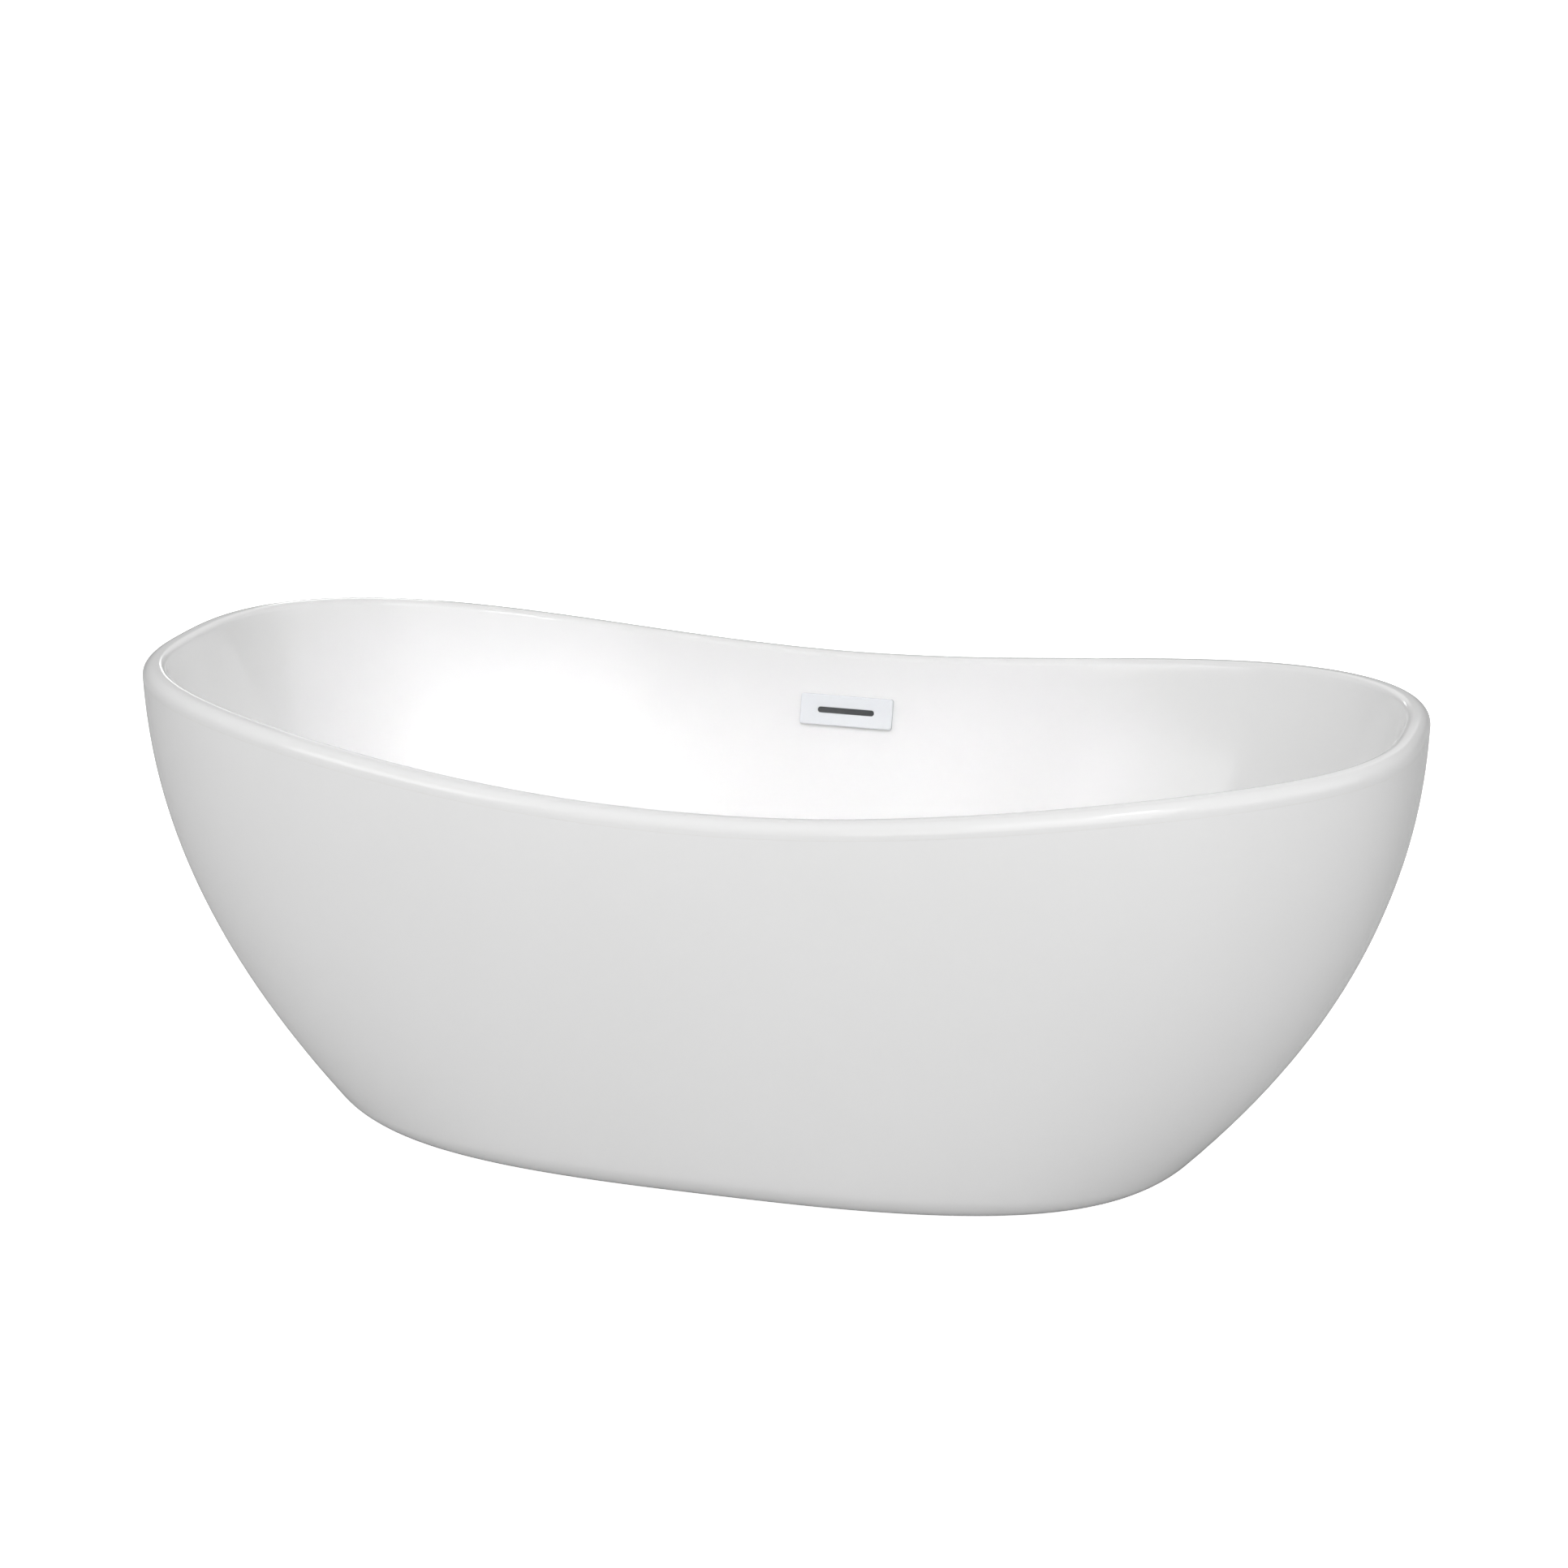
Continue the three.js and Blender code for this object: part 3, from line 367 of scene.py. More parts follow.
class Nodes:
    """A small helper round a material's node tree."""

    def __init__(self, name):
        self.material = bpy.data.materials.new(name)
        self.material.use_nodes = True
        self.tree = self.material.node_tree
        self.shader = self.tree.nodes["Principled BSDF"]
        self.place = self.add("ShaderNodeTexCoord").outputs["Object"]

    def add(self, kind, **settings):
        node = self.tree.nodes.new(kind)
        for key, value in settings.items():
            setattr(node, key, value)
        return node

    def link(self, output, socket):
        self.tree.links.new(output, socket)

    def stretched(self, scale, turn=(0, 0, 0)):
        mapping = self.add("ShaderNodeMapping")
        mapping.inputs["Scale"].default_value = scale
        mapping.inputs["Rotation"].default_value = turn
        self.link(self.place, mapping.inputs["Vector"])
        return mapping.outputs["Vector"]

    def noise(self, scale, detail, roughness=0.5, distortion=0.0, vector=None):
        """Noise with a scale in features a metre, and so many octaves of finer detail."""
        node = self.add("ShaderNodeTexNoise")
        node.inputs["Scale"].default_value = scale
        node.inputs["Detail"].default_value = detail
        node.inputs["Roughness"].default_value = roughness
        node.inputs["Distortion"].default_value = distortion
        self.link(vector or self.place, node.inputs["Vector"])
        return node.outputs["Fac"]

    def cells(self, scale):
        node = self.add("ShaderNodeTexVoronoi")
        node.inputs["Scale"].default_value = scale
        self.link(self.place, node.inputs["Vector"])
        return node.outputs["Color"]

    def ramp(self, value, *stops):
        """Colours at places from 0 to 1, and the blend between them."""
        node = self.add("ShaderNodeValToRGB")
        line = node.color_ramp.elements
        while len(line) < len(stops):
            line.new(0.5)
        for element, (place, colour) in zip(line, stops):
            element.position = place
            element.color = (*colour, 1)
        self.link(value, node.inputs["Fac"])
        return node.outputs["Color"]

    def tones(self, value, low, high):
        """From one colour to another, as noise runs over its usual range."""
        return self.ramp(value, (NOISE_LOW, low), (NOISE_HIGH, high))

    def spread(self, value, low, high, from_low=NOISE_LOW, from_high=NOISE_HIGH):
        """From one number to another, as a value runs over a range."""
        node = self.add("ShaderNodeMapRange")
        set_range(node, from_low, from_high, low, high)
        self.link(value, node.inputs["Value"])
        return node.outputs["Result"]

    def higher(self, a, b):
        node = self.add("ShaderNodeMath", operation="MAXIMUM")
        for socket, value in zip(node.inputs, (a, b)):
            self.link(value, socket)
        return node.outputs["Value"]

    def mix(self, factor, a, b):
        node = self.add("ShaderNodeMix", data_type="RGBA")
        for socket, value in ((node.inputs["Factor"], factor), (node.inputs["A"], a), (node.inputs["B"], b)):
            if isinstance(value, tuple):
                socket.default_value = (*value, 1)
            else:
                self.link(value, socket)
        return node.outputs["Result"]

    def bump(self, height, depth, strength, under=None):
        """A bump up to a depth in metres, on top of the bump under it."""
        node = self.add("ShaderNodeBump")
        node.inputs["Strength"].default_value = strength
        node.inputs["Distance"].default_value = depth
        self.link(height, node.inputs["Height"])
        if under is not None:
            self.link(under, node.inputs["Normal"])
        return node.outputs["Normal"]

    def set(self, **values):
        """Sets the shader's sockets, each to a number or to a node's output."""
        names = {"colour": "Base Color", "ior": "IOR"}
        for key, value in values.items():
            socket = self.shader.inputs[names.get(key, key.capitalize())]
            if isinstance(value, bpy.types.NodeSocket):
                self.link(value, socket)
            else:
                socket.default_value = value
        return self.material


def acrylic():
    """Gloss white sheet: a faint cloudiness, slow waves from the forming, and hair-fine polishing marks."""
    n = Nodes("acrylic")
    marks = n.noise(260, 2, 0.6, vector=n.stretched((1, 1, 0.12)))
    waves = n.bump(n.noise(5.5, 1, 0.4), depth=0.0016, strength=0.5)
    return n.set(
        colour=n.tones(n.noise(3.2, 2), (0.922, 0.922, 0.920), (0.935, 0.935, 0.934)),
        roughness=n.spread(n.noise(16, 4, 0.6), 0.085, 0.125),
        ior=1.49,
        normal=n.bump(marks, depth=0.00002, strength=0.4, under=waves),
    )


def fibreglass():
    """Chopped strands set in polyester resin, as sprayed on the backs of the shells."""
    n = Nodes("fibreglass")
    strands = None
    for turn, scale in ((0.3, 60), (1.25, 75), (2.2, 66), (2.9, 82)):
        lying = n.stretched((1, 0.07, 0.6), (0.4 * turn, 0.7 * turn, turn))
        layer = n.noise(scale, 2, 0.5, 0.4, lying)
        strands = layer if strands is None else n.higher(strands, layer)
    blotch = n.noise(7, 4, 0.6)
    resin = n.tones(blotch, (0.62, 0.57, 0.44), (0.74, 0.71, 0.6))
    pooled = n.bump(blotch, depth=0.003, strength=0.6)
    return n.set(
        colour=n.mix(n.spread(strands, 0, 0.55, 0.55, 0.75), resin, (0.86, 0.85, 0.79)),
        roughness=n.spread(blotch, 0.3, 0.5),
        normal=n.bump(strands, depth=0.0011, strength=0.8, under=pooled),
    )


def plywood():
    """A board with its grain along X, and darker bands where the plies show at its edges."""
    n = Nodes("board")
    grain = n.noise(26, 6, 0.65, 1.2, n.stretched((0.12, 1, 6)))
    wood = n.ramp(grain, (0.3, (0.42, 0.27, 0.14)), (0.5, (0.6, 0.43, 0.25)), (0.7, (0.7, 0.54, 0.35)))
    ply = n.add("ShaderNodeTexWave", wave_type="BANDS", bands_direction="Z", wave_profile="SAW")
    ply.inputs["Scale"].default_value = 140
    ply.inputs["Distortion"].default_value = 0.4
    n.link(n.place, ply.inputs["Vector"])
    return n.set(
        colour=n.mix(n.spread(ply.outputs["Fac"], 0, 0.28, 0, 1), wood, (0.3, 0.19, 0.1)),
        roughness=n.spread(grain, 0.35, 0.6),
        normal=n.bump(grain, depth=0.0005, strength=0.6),
    )


def powder_coat():
    """Dark grey paint with a fine orange peel and a little dust."""
    n = Nodes("frame_steel")
    tone = n.tones(n.noise(9, 3), (0.19, 0.195, 0.205), (0.235, 0.24, 0.25))
    dust = n.spread(n.noise(40, 5, 0.7), 0, 0.3, 0.5, 0.8)
    return n.set(
        colour=n.mix(dust, tone, (0.36, 0.35, 0.33)),
        roughness=n.spread(n.noise(22, 4), 0.38, 0.52),
        normal=n.bump(n.noise(420, 2), depth=0.00025, strength=0.5),
    )


def zinc():
    """Galvanised steel: flakes of different brightness, and a faint yellow stain."""
    n = Nodes("zinc")
    bright = n.add("ShaderNodeRGBToBW")
    n.link(n.cells(340), bright.inputs["Color"])
    tone = n.ramp(bright.outputs["Val"], (0.2, (0.52, 0.53, 0.54)), (0.8, (0.72, 0.735, 0.75)))
    stain = n.spread(n.noise(30, 4, 0.6), 0, 0.35, 0.5, 0.75)
    return n.set(
        colour=n.mix(stain, tone, (0.6, 0.55, 0.44)),
        metallic=1.0,
        roughness=n.spread(n.noise(90, 3), 0.24, 0.42),
        normal=n.bump(n.noise(700, 2), depth=0.00008, strength=0.5),
    )


def bright_metal(name, low, high, rough_low, rough_high):
    """Polished or drawn metal with smudges and fine wiping marks."""
    n = Nodes(name)
    wiped = n.noise(380, 2, 0.5, vector=n.stretched((1, 0.1, 1)))
    return n.set(
        colour=n.tones(n.noise(24, 3), low, high),
        metallic=1.0,
        roughness=n.spread(n.noise(55, 5, 0.65), rough_low, rough_high),
        normal=n.bump(wiped, depth=0.00002, strength=0.4),
    )


def moulded(name, low, high, rough_low, rough_high, grain=500, depth=0.00006, scale=14):
    """Injection-moulded plastic or rubber: slow flow tones, and a fine surface grain."""
    n = Nodes(name)
    return n.set(
        colour=n.tones(n.noise(scale, 4, 0.55, 0.6), low, high),
        roughness=n.spread(n.noise(60, 4), rough_low, rough_high),
        normal=n.bump(n.noise(grain, 2), depth, strength=0.5),
    )


MATERIALS = {
    "acrylic": acrylic(),
    "board": plywood(),
    "frame_steel": powder_coat(),
    "zinc": zinc(),
    "chrome": bright_metal("chrome", (0.74, 0.75, 0.76), (0.82, 0.83, 0.84), 0.05, 0.12),
    "spring_steel": bright_metal("spring_steel", (0.5, 0.51, 0.53), (0.62, 0.63, 0.65), 0.2, 0.34),
    "white_plastic": moulded(
        "white_plastic", (0.84, 0.86, 0.885), (0.865, 0.885, 0.91), 0.13, 0.2, grain=700, depth=0.00001
    ),
    "waste_plastic": moulded("waste_plastic", (0.74, 0.745, 0.74), (0.8, 0.805, 0.8), 0.36, 0.5),
    "hose_plastic": moulded("hose_plastic", (0.5, 0.52, 0.54), (0.58, 0.6, 0.62), 0.4, 0.55),
    "rubber": moulded(
        "rubber", (0.022, 0.022, 0.024), (0.04, 0.04, 0.042), 0.62, 0.82, grain=300, depth=0.00018, scale=30
    ),
}
FIBREGLASS = fibreglass()
# Painted shade: the carrier behind the overflow's slot is this dark grey, standing in for the shade inside
# the slot.
PAINTED_SLOT_SHADE = moulded(
    "slot_grey", (0.062, 0.064, 0.066), (0.078, 0.08, 0.083), 0.6, 0.8, grain=300, depth=0.0001, scale=30
)
WELD = bright_metal("weld", (0.3, 0.3, 0.31), (0.45, 0.44, 0.43), 0.35, 0.6)

# ---- Shells ----


RECESS_FLOOR = FLOOR_DRAIN - RECESS_DEPTH
# The waste's recess, from the hole out: radius, and height above the recess's floor.
RECESS_PROFILE = [(DRAIN_HOLE, -0.6), (DRAIN_HOLE + 0.6, 0), (34, 0), (38, 0.25)]
RECESS_PROFILE += [(39.6, 1.1), (41, 2.3), (42.6, 2.9)]


def round_ring(radius, height):
    return plan(ROUND, radius, radius, 2, height)


def shell(name, front, back):
    """A closed shell: acrylic on its front rings, fibreglass on its back ones."""
    rings = front + back
    faces = grid_faces(len(rings), SEGMENTS)
    bands = [0] * (len(front) - 1) + [1] * (len(back) + 1)
    kinds = np.repeat(bands, SEGMENTS)
    materials = [MATERIALS["acrylic"], FIBREGLASS]
    return mesh_of(name, np.concatenate(rings), faces, "tub", materials, 40, kinds)


def basin_rings():
    """The basin's rings: up the wet side and over the rim, then back down behind."""
    inner_centre = RIM_WIDTH - RIM_INNER_ROUND

    def inner_roll(radius, count):
        return [
            rim(inner_centre + radius * math.cos(t), RIM_INNER_ROUND - radius * math.sin(t))
            for t in arc(WALL_LEAN, math.pi / 2, count)
        ]

    def outer_roll(radius, count):
        return [
            rim(RIM_OUTER_ROUND - radius * math.sin(t), RIM_OUTER_ROUND - radius * math.cos(t))
            for t in arc(0, math.pi / 2, count)
        ]

    def below(drop, inset):
        return outer(ROUND, rim_height(ROUND) - drop, inset)

    lap = WALL + 2 * GAP  # where the flange behind the skirt's top begins
    floor_shares = [0.012, 0.04, 0.1, 0.2, 0.35, 0.5, 0.65, 0.8, 0.9, 0.97]
    wall_shares = steps(56)
    front = [
        *[round_ring(radius, RECESS_FLOOR + up) for radius, up in RECESS_PROFILE],
        *[basin_floor(ROUND, s) for s in floor_shares],
        *[basin_wall(ROUND, s) for s in wall_shares[:-1]],
        *inner_roll(RIM_INNER_ROUND, 10),
        *outer_roll(RIM_OUTER_ROUND, 12),
        below(LIP_DROP, 0),
    ]
    back = [
        below(LIP_DROP, lap),
        below(BOND_DROP, lap),
        below(BOND_DROP, lap + BOND_THICKNESS),
        below(LIP_DROP, lap + BOND_THICKNESS),
        *outer_roll(RIM_OUTER_ROUND - WALL, 6)[::-1],
        *inner_roll(RIM_INNER_ROUND - WALL, 6)[::-1],
        *[behind(basin_wall, ROUND, s, WALL) for s in steps(28)[1:-1][::-1]],
        *[behind(basin_floor, ROUND, s, WALL) for s in [0, 0.25, 0.5, 0.75, 1][::-1]],
        round_ring(DRAIN_HOLE, RECESS_FLOOR - WALL),
    ]
    return front, back


def skirt_rings():
    """The skirt's rings: from its flange up the outside, then back down the inside."""
    wall_shares = [1 - (1 - s) ** 1.5 for s in steps(44)]
    corner_shares = steps(14)[:-1]

    def flange(height, extra=0.0):
        return outer(ROUND, height, BASE_ROUND + BASE_FLANGE - extra)

    front = [
        flange(SKIRT_CLEARANCE + 0.8),
        flange(SKIRT_CLEARANCE, 0.8),
        *[skirt_corner(ROUND, s) for s in corner_shares],
        *[skirt_wall(ROUND, s) for s in wall_shares],
    ]
    back = [
        *[behind(skirt_wall, ROUND, s, -WALL) for s in wall_shares[::-2]],
        *[behind(skirt_corner, ROUND, s, -WALL) for s in corner_shares[::-2]],
        flange(SKIRT_CLEARANCE + WALL),
    ]
    return front, back


# The overflow's own frame: origin on the wet face, Z out of the wall into the tub, Y up the wall.
MIDDLE = np.array([math.pi / 2])
WALL_POINT = Vector(basin_wall(MIDDLE, OVERFLOW_SHARE)[0])
OUT = (WALL_POINT - Vector(behind(basin_wall, MIDDLE, OVERFLOW_SHARE, 1.0)[0])).normalized()
UP = OUT.cross(Vector((1, 0, 0))).normalized()
OVERFLOW_AXES = Matrix(((1, UP.x, OUT.x), (0, UP.y, OUT.y), (0, UP.z, OUT.z)))
AT_OVERFLOW = Matrix.Translation(WALL_POINT) @ OVERFLOW_AXES.to_4x4()


def drill(obj, centre, direction, radius, length):
    """Bores a round hole through a finished piece. Lengths are in metres."""
    turn = direction.to_track_quat("Z", "Y").to_matrix().to_4x4()
    work = bmesh.new()
    bmesh.ops.create_cone(
        work, cap_ends=True, segments=64, radius1=radius, radius2=radius, depth=length, matrix=turn
    )
    mesh = bpy.data.meshes.new("drill")
    work.to_mesh(mesh)
    work.free()
    tool = bpy.data.objects.new("drill", mesh)
    tool.location = centre
    bpy.context.scene.collection.objects.link(tool)
    cut = obj.modifiers.new("hole", "BOOLEAN")
    cut.operation, cut.object, cut.solver = "DIFFERENCE", tool, "EXACT"
    bpy.context.view_layer.update()
    done = bpy.data.meshes.new_from_object(obj.evaluated_get(bpy.context.evaluated_depsgraph_get()))
    obj.modifiers.remove(cut)
    old, obj.data = obj.data, done
    bpy.data.meshes.remove(old)
    bpy.data.objects.remove(tool)


SPIGOT_RADIUS, ELBOW_RADIUS, ELBOW_DEPTH = 13.0, 18.0, 19.0
OVERFLOW_GASKET = 1.7  # its thickness
ELBOW_FRONT = -WALL - 2 * GAP - OVERFLOW_GASKET
ELBOW_MIDDLE = ELBOW_FRONT - ELBOW_DEPTH / 2 - 1
BARB_START, BARB_RADIUS = 24.0, 8.3
BARBS, BARB_PITCH, BARB_BORE = 5, 4.2, 6.3
BARBED_LENGTH = BARBS * BARB_PITCH
SPIGOT_PLAY, DRILL_DEPTH = 1.0, 30.0

basin = shell("basin_shell", *basin_rings())
drill(basin, WALL_POINT * MM, OUT, (SPIGOT_RADIUS + SPIGOT_PLAY) * MM, DRILL_DEPTH * MM)
stands_for(basin, "basin")
stands_for(shell("skirt_shell", *skirt_rings()), "skirt")

# ---- Under-frame ----

TUBE, RAIL_Y, OUTER_X, INNER_X = 25.0, 95.0, 330.0, 140.0
BOARD_BOTTOM = 96.4
RAIL_BOTTOM = BOARD_BOTTOM - GAP - TUBE
CROSS_BOTTOM = RAIL_BOTTOM - GAP - TUBE
CROSS_HALF, FOOT_Y, BOLT_Y = 215.0, 165.0, 201.0
WELD_HALF = 9.0
STUD_RADIUS, STUD_BOTTOM, STUD_TOP, STUD_PITCH = 6.0, 6.3, 90.0, 1.75
STUD_NUT, NUT_HEIGHT = 17.3, 8.0
BRACKET_SHEET, BRACKET_HALF, BRACKET_FLANGE = 3.0, 12.0, 13.0
BOLT_HEAD, WASHER_RADIUS, WASHER_THICKNESS = 10.0, 5.75, 0.9

# Every CAD node takes its slot's material. The board, the rails and the cross members keep showing.
for node in frame["nodes"].values():
    used = next(s["material_slot"] for s in frame["record"]["subparts"] if s["node"] == node.name)
    node.data.materials.clear()
    node.data.materials.append(MATERIALS[used])


def bead(solid, start, end, seed):
    """A weld bead: a low half-round ridge with the ripples of its pool."""
    start, end = Vector(start), Vector(end)
    along = end - start
    length = along.length
    turn = along.to_track_quat("Z", "Y").to_matrix().to_4x4()
    count = int(length / 0.9)
    rings = []
    for i in range(count + 1):
        s = i / count
        taper = min(1, 6 * s * (1 - s) + 0.25)
        size = (2.1 + 0.35 * math.sin(i * 2.1 + seed) + 0.15 * math.sin(i * 0.7 + 2 * seed)) * taper
        rings.append(circle(size, s * length, 10))
    return solid.rings(rings, close=False, caps=True, move=Matrix.Translation(start) @ turn)


welds = Solid()
for x in (-OUTER_X, -INNER_X, INNER_X, OUTER_X):
    for y in (-RAIL_Y, RAIL_Y):
        level = RAIL_BOTTOM - GAP / 2
        for side in (-1, 1):
            beside = y + side * TUBE / 2
            bead(welds, (x - WELD_HALF, beside, level), (x + WELD_HALF, beside, level), x + y + side)
            beside = x + side * TUBE / 2
            bead(welds, (beside, y - WELD_HALF, level), (beside, y + WELD_HALF, level), x - y + side)
welds.piece("frame_welds", "frame_steel", material=WELD)


def extruded(solid, outline, half_width, round_by, move):
    """A closed outline in Y and Z, drawn out along X, with its long edges rounded."""
    loop = rounded(outline, round_by)
    rings = [np.array([(x, y, z) for y, z in loop]) for x in (-half_width, half_width)]
    return solid.rings(rings, close=False, caps=True, move=move)


CORNERS = [(-1, -1), (-1, 1), (1, 1), (1, -1)]
PAD_RIBS = 16


def foot(number, right, rear):
    """A levelling foot: a ribbed pad, a threaded stud with its hexagon, and the jam nut above it."""
    at = Matrix.Translation((right * OUTER_X, rear * FOOT_Y, 0))
    pad = Solid()
    profile = [(0, 0), (22, 0), (22, 4), (19, 7), (11.5, 8), (10.4, 14), (6.1, 14), (6.1, 6), (0, 6)]
    lathe(pad, profile, 56, 0.7, at, on_axis=True)
    for i in range(PAD_RIBS):
        spin = at @ Matrix.Rotation(i * 2 * math.pi / PAD_RIBS, 4, "Z")
        block(pad, (4.5, 1.6, 2.6), (13.6, 0, 7.6), 0.5, spin)
    piece = pad.piece(f"foot_{number}_pad_moulded", "rubber", f"foot_{number}")
    stands_for(piece, f"foot_{number}_pad")
    stud = threaded(Solid(), STUD_RADIUS, STUD_BOTTOM, STUD_TOP, STUD_PITCH, move=at)
    hexagon(stud, STUD_NUT, 17, 23, move=at)
    piece = stud.piece(f"foot_{number}_stud_threaded", "zinc", f"foot_{number}_screw")
    stands_for(piece, f"foot_{number}_stud")
    top = CROSS_BOTTOM - GAP
    nut = hexagon(Solid(), STUD_NUT, top - NUT_HEIGHT, top, STUD_RADIUS + GAP / 2, move=at)
    stands_for(nut.piece(f"foot_{number}_jam_nut", "zinc"), f"foot_{number}_nut")


def bracket(number, right, rear):
    """A bent bracket from a cross member's end down to the skirt's flange, and its bolt."""
    at = Matrix.Translation((right * OUTER_X, 0, 0)) @ Matrix.Rotation(0 if rear > 0 else math.pi, 4, "Z")
    sheet, top, low = BRACKET_SHEET, CROSS_BOTTOM - GAP, SKIRT_CLEARANCE + WALL + GAP
    inner, edge = BOLT_Y - 10, CROSS_HALF + 2
    outline = [
        (inner, top),
        (inner, top - sheet),
        (edge - sheet, top - sheet),
        (edge - sheet, low),
        (edge + BRACKET_FLANGE, low),
        (edge + BRACKET_FLANGE, low + sheet),
        (edge, low + sheet),
        (edge, top),
    ]
    bent = extruded(Solid(), outline, BRACKET_HALF, 1.4, at)
    stands_for(bent.piece(f"skirt_bracket_{number}_bent", "zinc"), f"skirt_bracket_{number}")
    seat = CROSS_BOTTOM - sheet - 2 * GAP
    under = seat - WASHER_THICKNESS
    where = at @ Matrix.Translation((0, BOLT_Y, 0))
    bolt = hexagon(Solid(), BOLT_HEAD, seat - 4, under, move=where)
    washer = [(0, under), (WASHER_RADIUS, under), (WASHER_RADIUS, seat), (0, seat)]
    lathe(bolt, washer, 40, 0.2, where, on_axis=True)
    threaded(bolt, 3, seat - 1, CROSS_BOTTOM + 6, 1.0, 20, move=where)
    stands_for(bolt.piece(f"bracket_bolt_{number}_hex", "zinc"), f"bracket_bolt_{number}")


for number, (right, rear) in enumerate(CORNERS, 1):
    foot(number, right, rear)
    bracket(number, right, rear)

# ---- Waste ----

WASTE_BORE, WASTE_RADIUS, WASTE_TOP, TAIL_RADIUS = 19.0, 22.0, 116.3, 20.0
STOPPER_TRAVEL = 10.0
CAP_UNDERSIDE = WASTE_TOP + GAP + STOPPER_TRAVEL
PLUG_BOTTOM = CAP_UNDERSIDE - 5
CARTRIDGE_TOP = 99.0
BRANCH_HEIGHT, BRANCH_END = 52.0, 44.0
SEAL_RADIUS = 33.0
Z_TO_Y = Matrix.Rotation(-math.pi / 2, 4, "X")


def spread_round(solid, count, size, centre, bevel):
    """Blocks at equal angles round the upright axis."""
    for i in range(count):
        block(solid, size, centre, bevel, Matrix.Rotation(i * 2 * math.pi / count, 4, "Z"))


under = RECESS_FLOOR + 1.8
profile = [(WASTE_BORE, 66), (WASTE_RADIUS, 66), (WASTE_RADIUS, under), (33.6, under), (34.5, under + 0.7)]
profile += [(33.6, WASTE_TOP - 0.5), (32, WASTE_TOP), (WASTE_BORE + 2.5, WASTE_TOP)]
flange = lathe(Solid(), [*profile, (WASTE_BORE, WASTE_TOP - 2.5)], 128, 0.9)
ring(flange, 6.3, 9.5, 84, 96, 48, 0.5)
spread_round(flange, 4, (11, 3, 8), (14.2, 0, 90), 0.9)
stands_for(flange.piece("waste_flange_plated", "chrome"), "waste_flange")

socket = WASTE_RADIUS + GAP
seal = ring(Solid(), socket, SEAL_RADIUS, RECESS_FLOOR + GAP, under - GAP, 96, 0.4)
stands_for(seal.piece("waste_seal_ring", "rubber"), "waste_seal")
low = RECESS_FLOOR - WALL - 3
gasket = ring(Solid(), socket, SEAL_RADIUS, low, low + 3 - GAP, 96, 0.6)
stands_for(gasket.piece("waste_gasket_ring", "rubber"), "waste_gasket")

ALONG_BRANCH = Matrix.Translation((0, 0, BRANCH_HEIGHT)) @ Z_TO_Y


def barbs(start):
    """The saw-toothed outside of a hose barb, from its root to its tip, and back to its bore."""
    out = []
    for i in range(BARBS):
        tooth = start + i * BARB_PITCH
        out += [(BARB_RADIUS - 1.1, tooth), (BARB_RADIUS, tooth + 0.5)]
    tip = start + BARBED_LENGTH
    return [*out, (BARB_RADIUS - 1.5, tip), (BARB_BORE, tip)]


top = low - GAP
outside = [(TAIL_RADIUS + GAP, 30), (24.6, 30), (24.6, 42), (28, 44), (28, top - 6)]
outside += [(SEAL_RADIUS, top - 6), (SEAL_RADIUS, top)]
inside = [(socket, top), (socket, 65.7), (18, 65.7), (18, 41), (TAIL_RADIUS + GAP, 41)]
tee = lathe(Solid(), outside + inside, 96, 0.8)
spread_round(tee, 12, (5, 2, 8), (29.6, 0, top - 9.6), 0.6)
branch = [(BARB_BORE, 20), (12, 20), (12, BRANCH_END), *barbs(BRANCH_END)]
lathe(tee, branch, 48, 0.3, ALONG_BRANCH)
ring(tee, 11, 13, BRANCH_END - 3.4, BRANCH_END - 0.6, 48, 0.5, ALONG_BRANCH)
stands_for(tee.piece("waste_tee_moulded", "waste_plastic"), "waste_tee")

tail = ring(Solid(), TAIL_RADIUS - 2, TAIL_RADIUS, 8, 40.7, 96, 0.4)
stands_for(tail.piece("waste_tailpiece_pipe", "waste_plastic"), "waste_tailpiece")

bore = TAIL_RADIUS + GAP
outside = [(bore, 25), (28.4, 25), (29.2, 26), (29.2, 39), (28.4, 40)]
inside = [(25.3, 40), (25.3, 29.7), (bore, 29.7)]
nut = lathe(Solid(), outside + inside, 96, 0.5)
spread_round(nut, 24, (2.4, 2.6, 12.6), (29.2, 0, 32.5), 0.7)
stands_for(nut.piece("waste_slip_nut_ribbed", "waste_plastic"), "waste_slip_nut")

# The stopper: a shallow dome, its plug and seal, and the stem that runs in the cartridge.
CAP_RADIUS, PLUG_RADIUS, STEM_RADIUS = 32.0, 12.0, 3.0
CAP_TOP, CAP_FALL = CAP_UNDERSIDE + 5.7, 3.6
dome = [(r, CAP_TOP - CAP_FALL * (r / 31) ** 2.6) for r in (29.5, 26, 21, 16, 11, 6, 0)]
socket = STEM_RADIUS + GAP
plug = [(0, CAP_UNDERSIDE + 1), (socket, CAP_UNDERSIDE + 1), (socket, PLUG_BOTTOM)]
plug += [(PLUG_RADIUS, PLUG_BOTTOM), (PLUG_RADIUS, CAP_UNDERSIDE), (CAP_RADIUS - 1, CAP_UNDERSIDE)]
edge = [(CAP_RADIUS, CAP_UNDERSIDE + 0.9), (CAP_RADIUS - 0.7, CAP_UNDERSIDE + 1.9)]
cap = lathe(Solid(), [*plug, *edge, *dome], 128, 0.5, on_axis=True)
stands_for(cap.piece("stopper_cap_domed", "white_plastic", "stopper"), "stopper_cap")
root, below, above = PLUG_RADIUS + GAP, PLUG_BOTTOM + 1, CAP_UNDERSIDE - GAP
profile = [(root, below), (16.5, below), (18.5, CAP_UNDERSIDE - 1.6), (18.2, above), (root, above)]
lip = lathe(Solid(), profile, 96, 0.5)
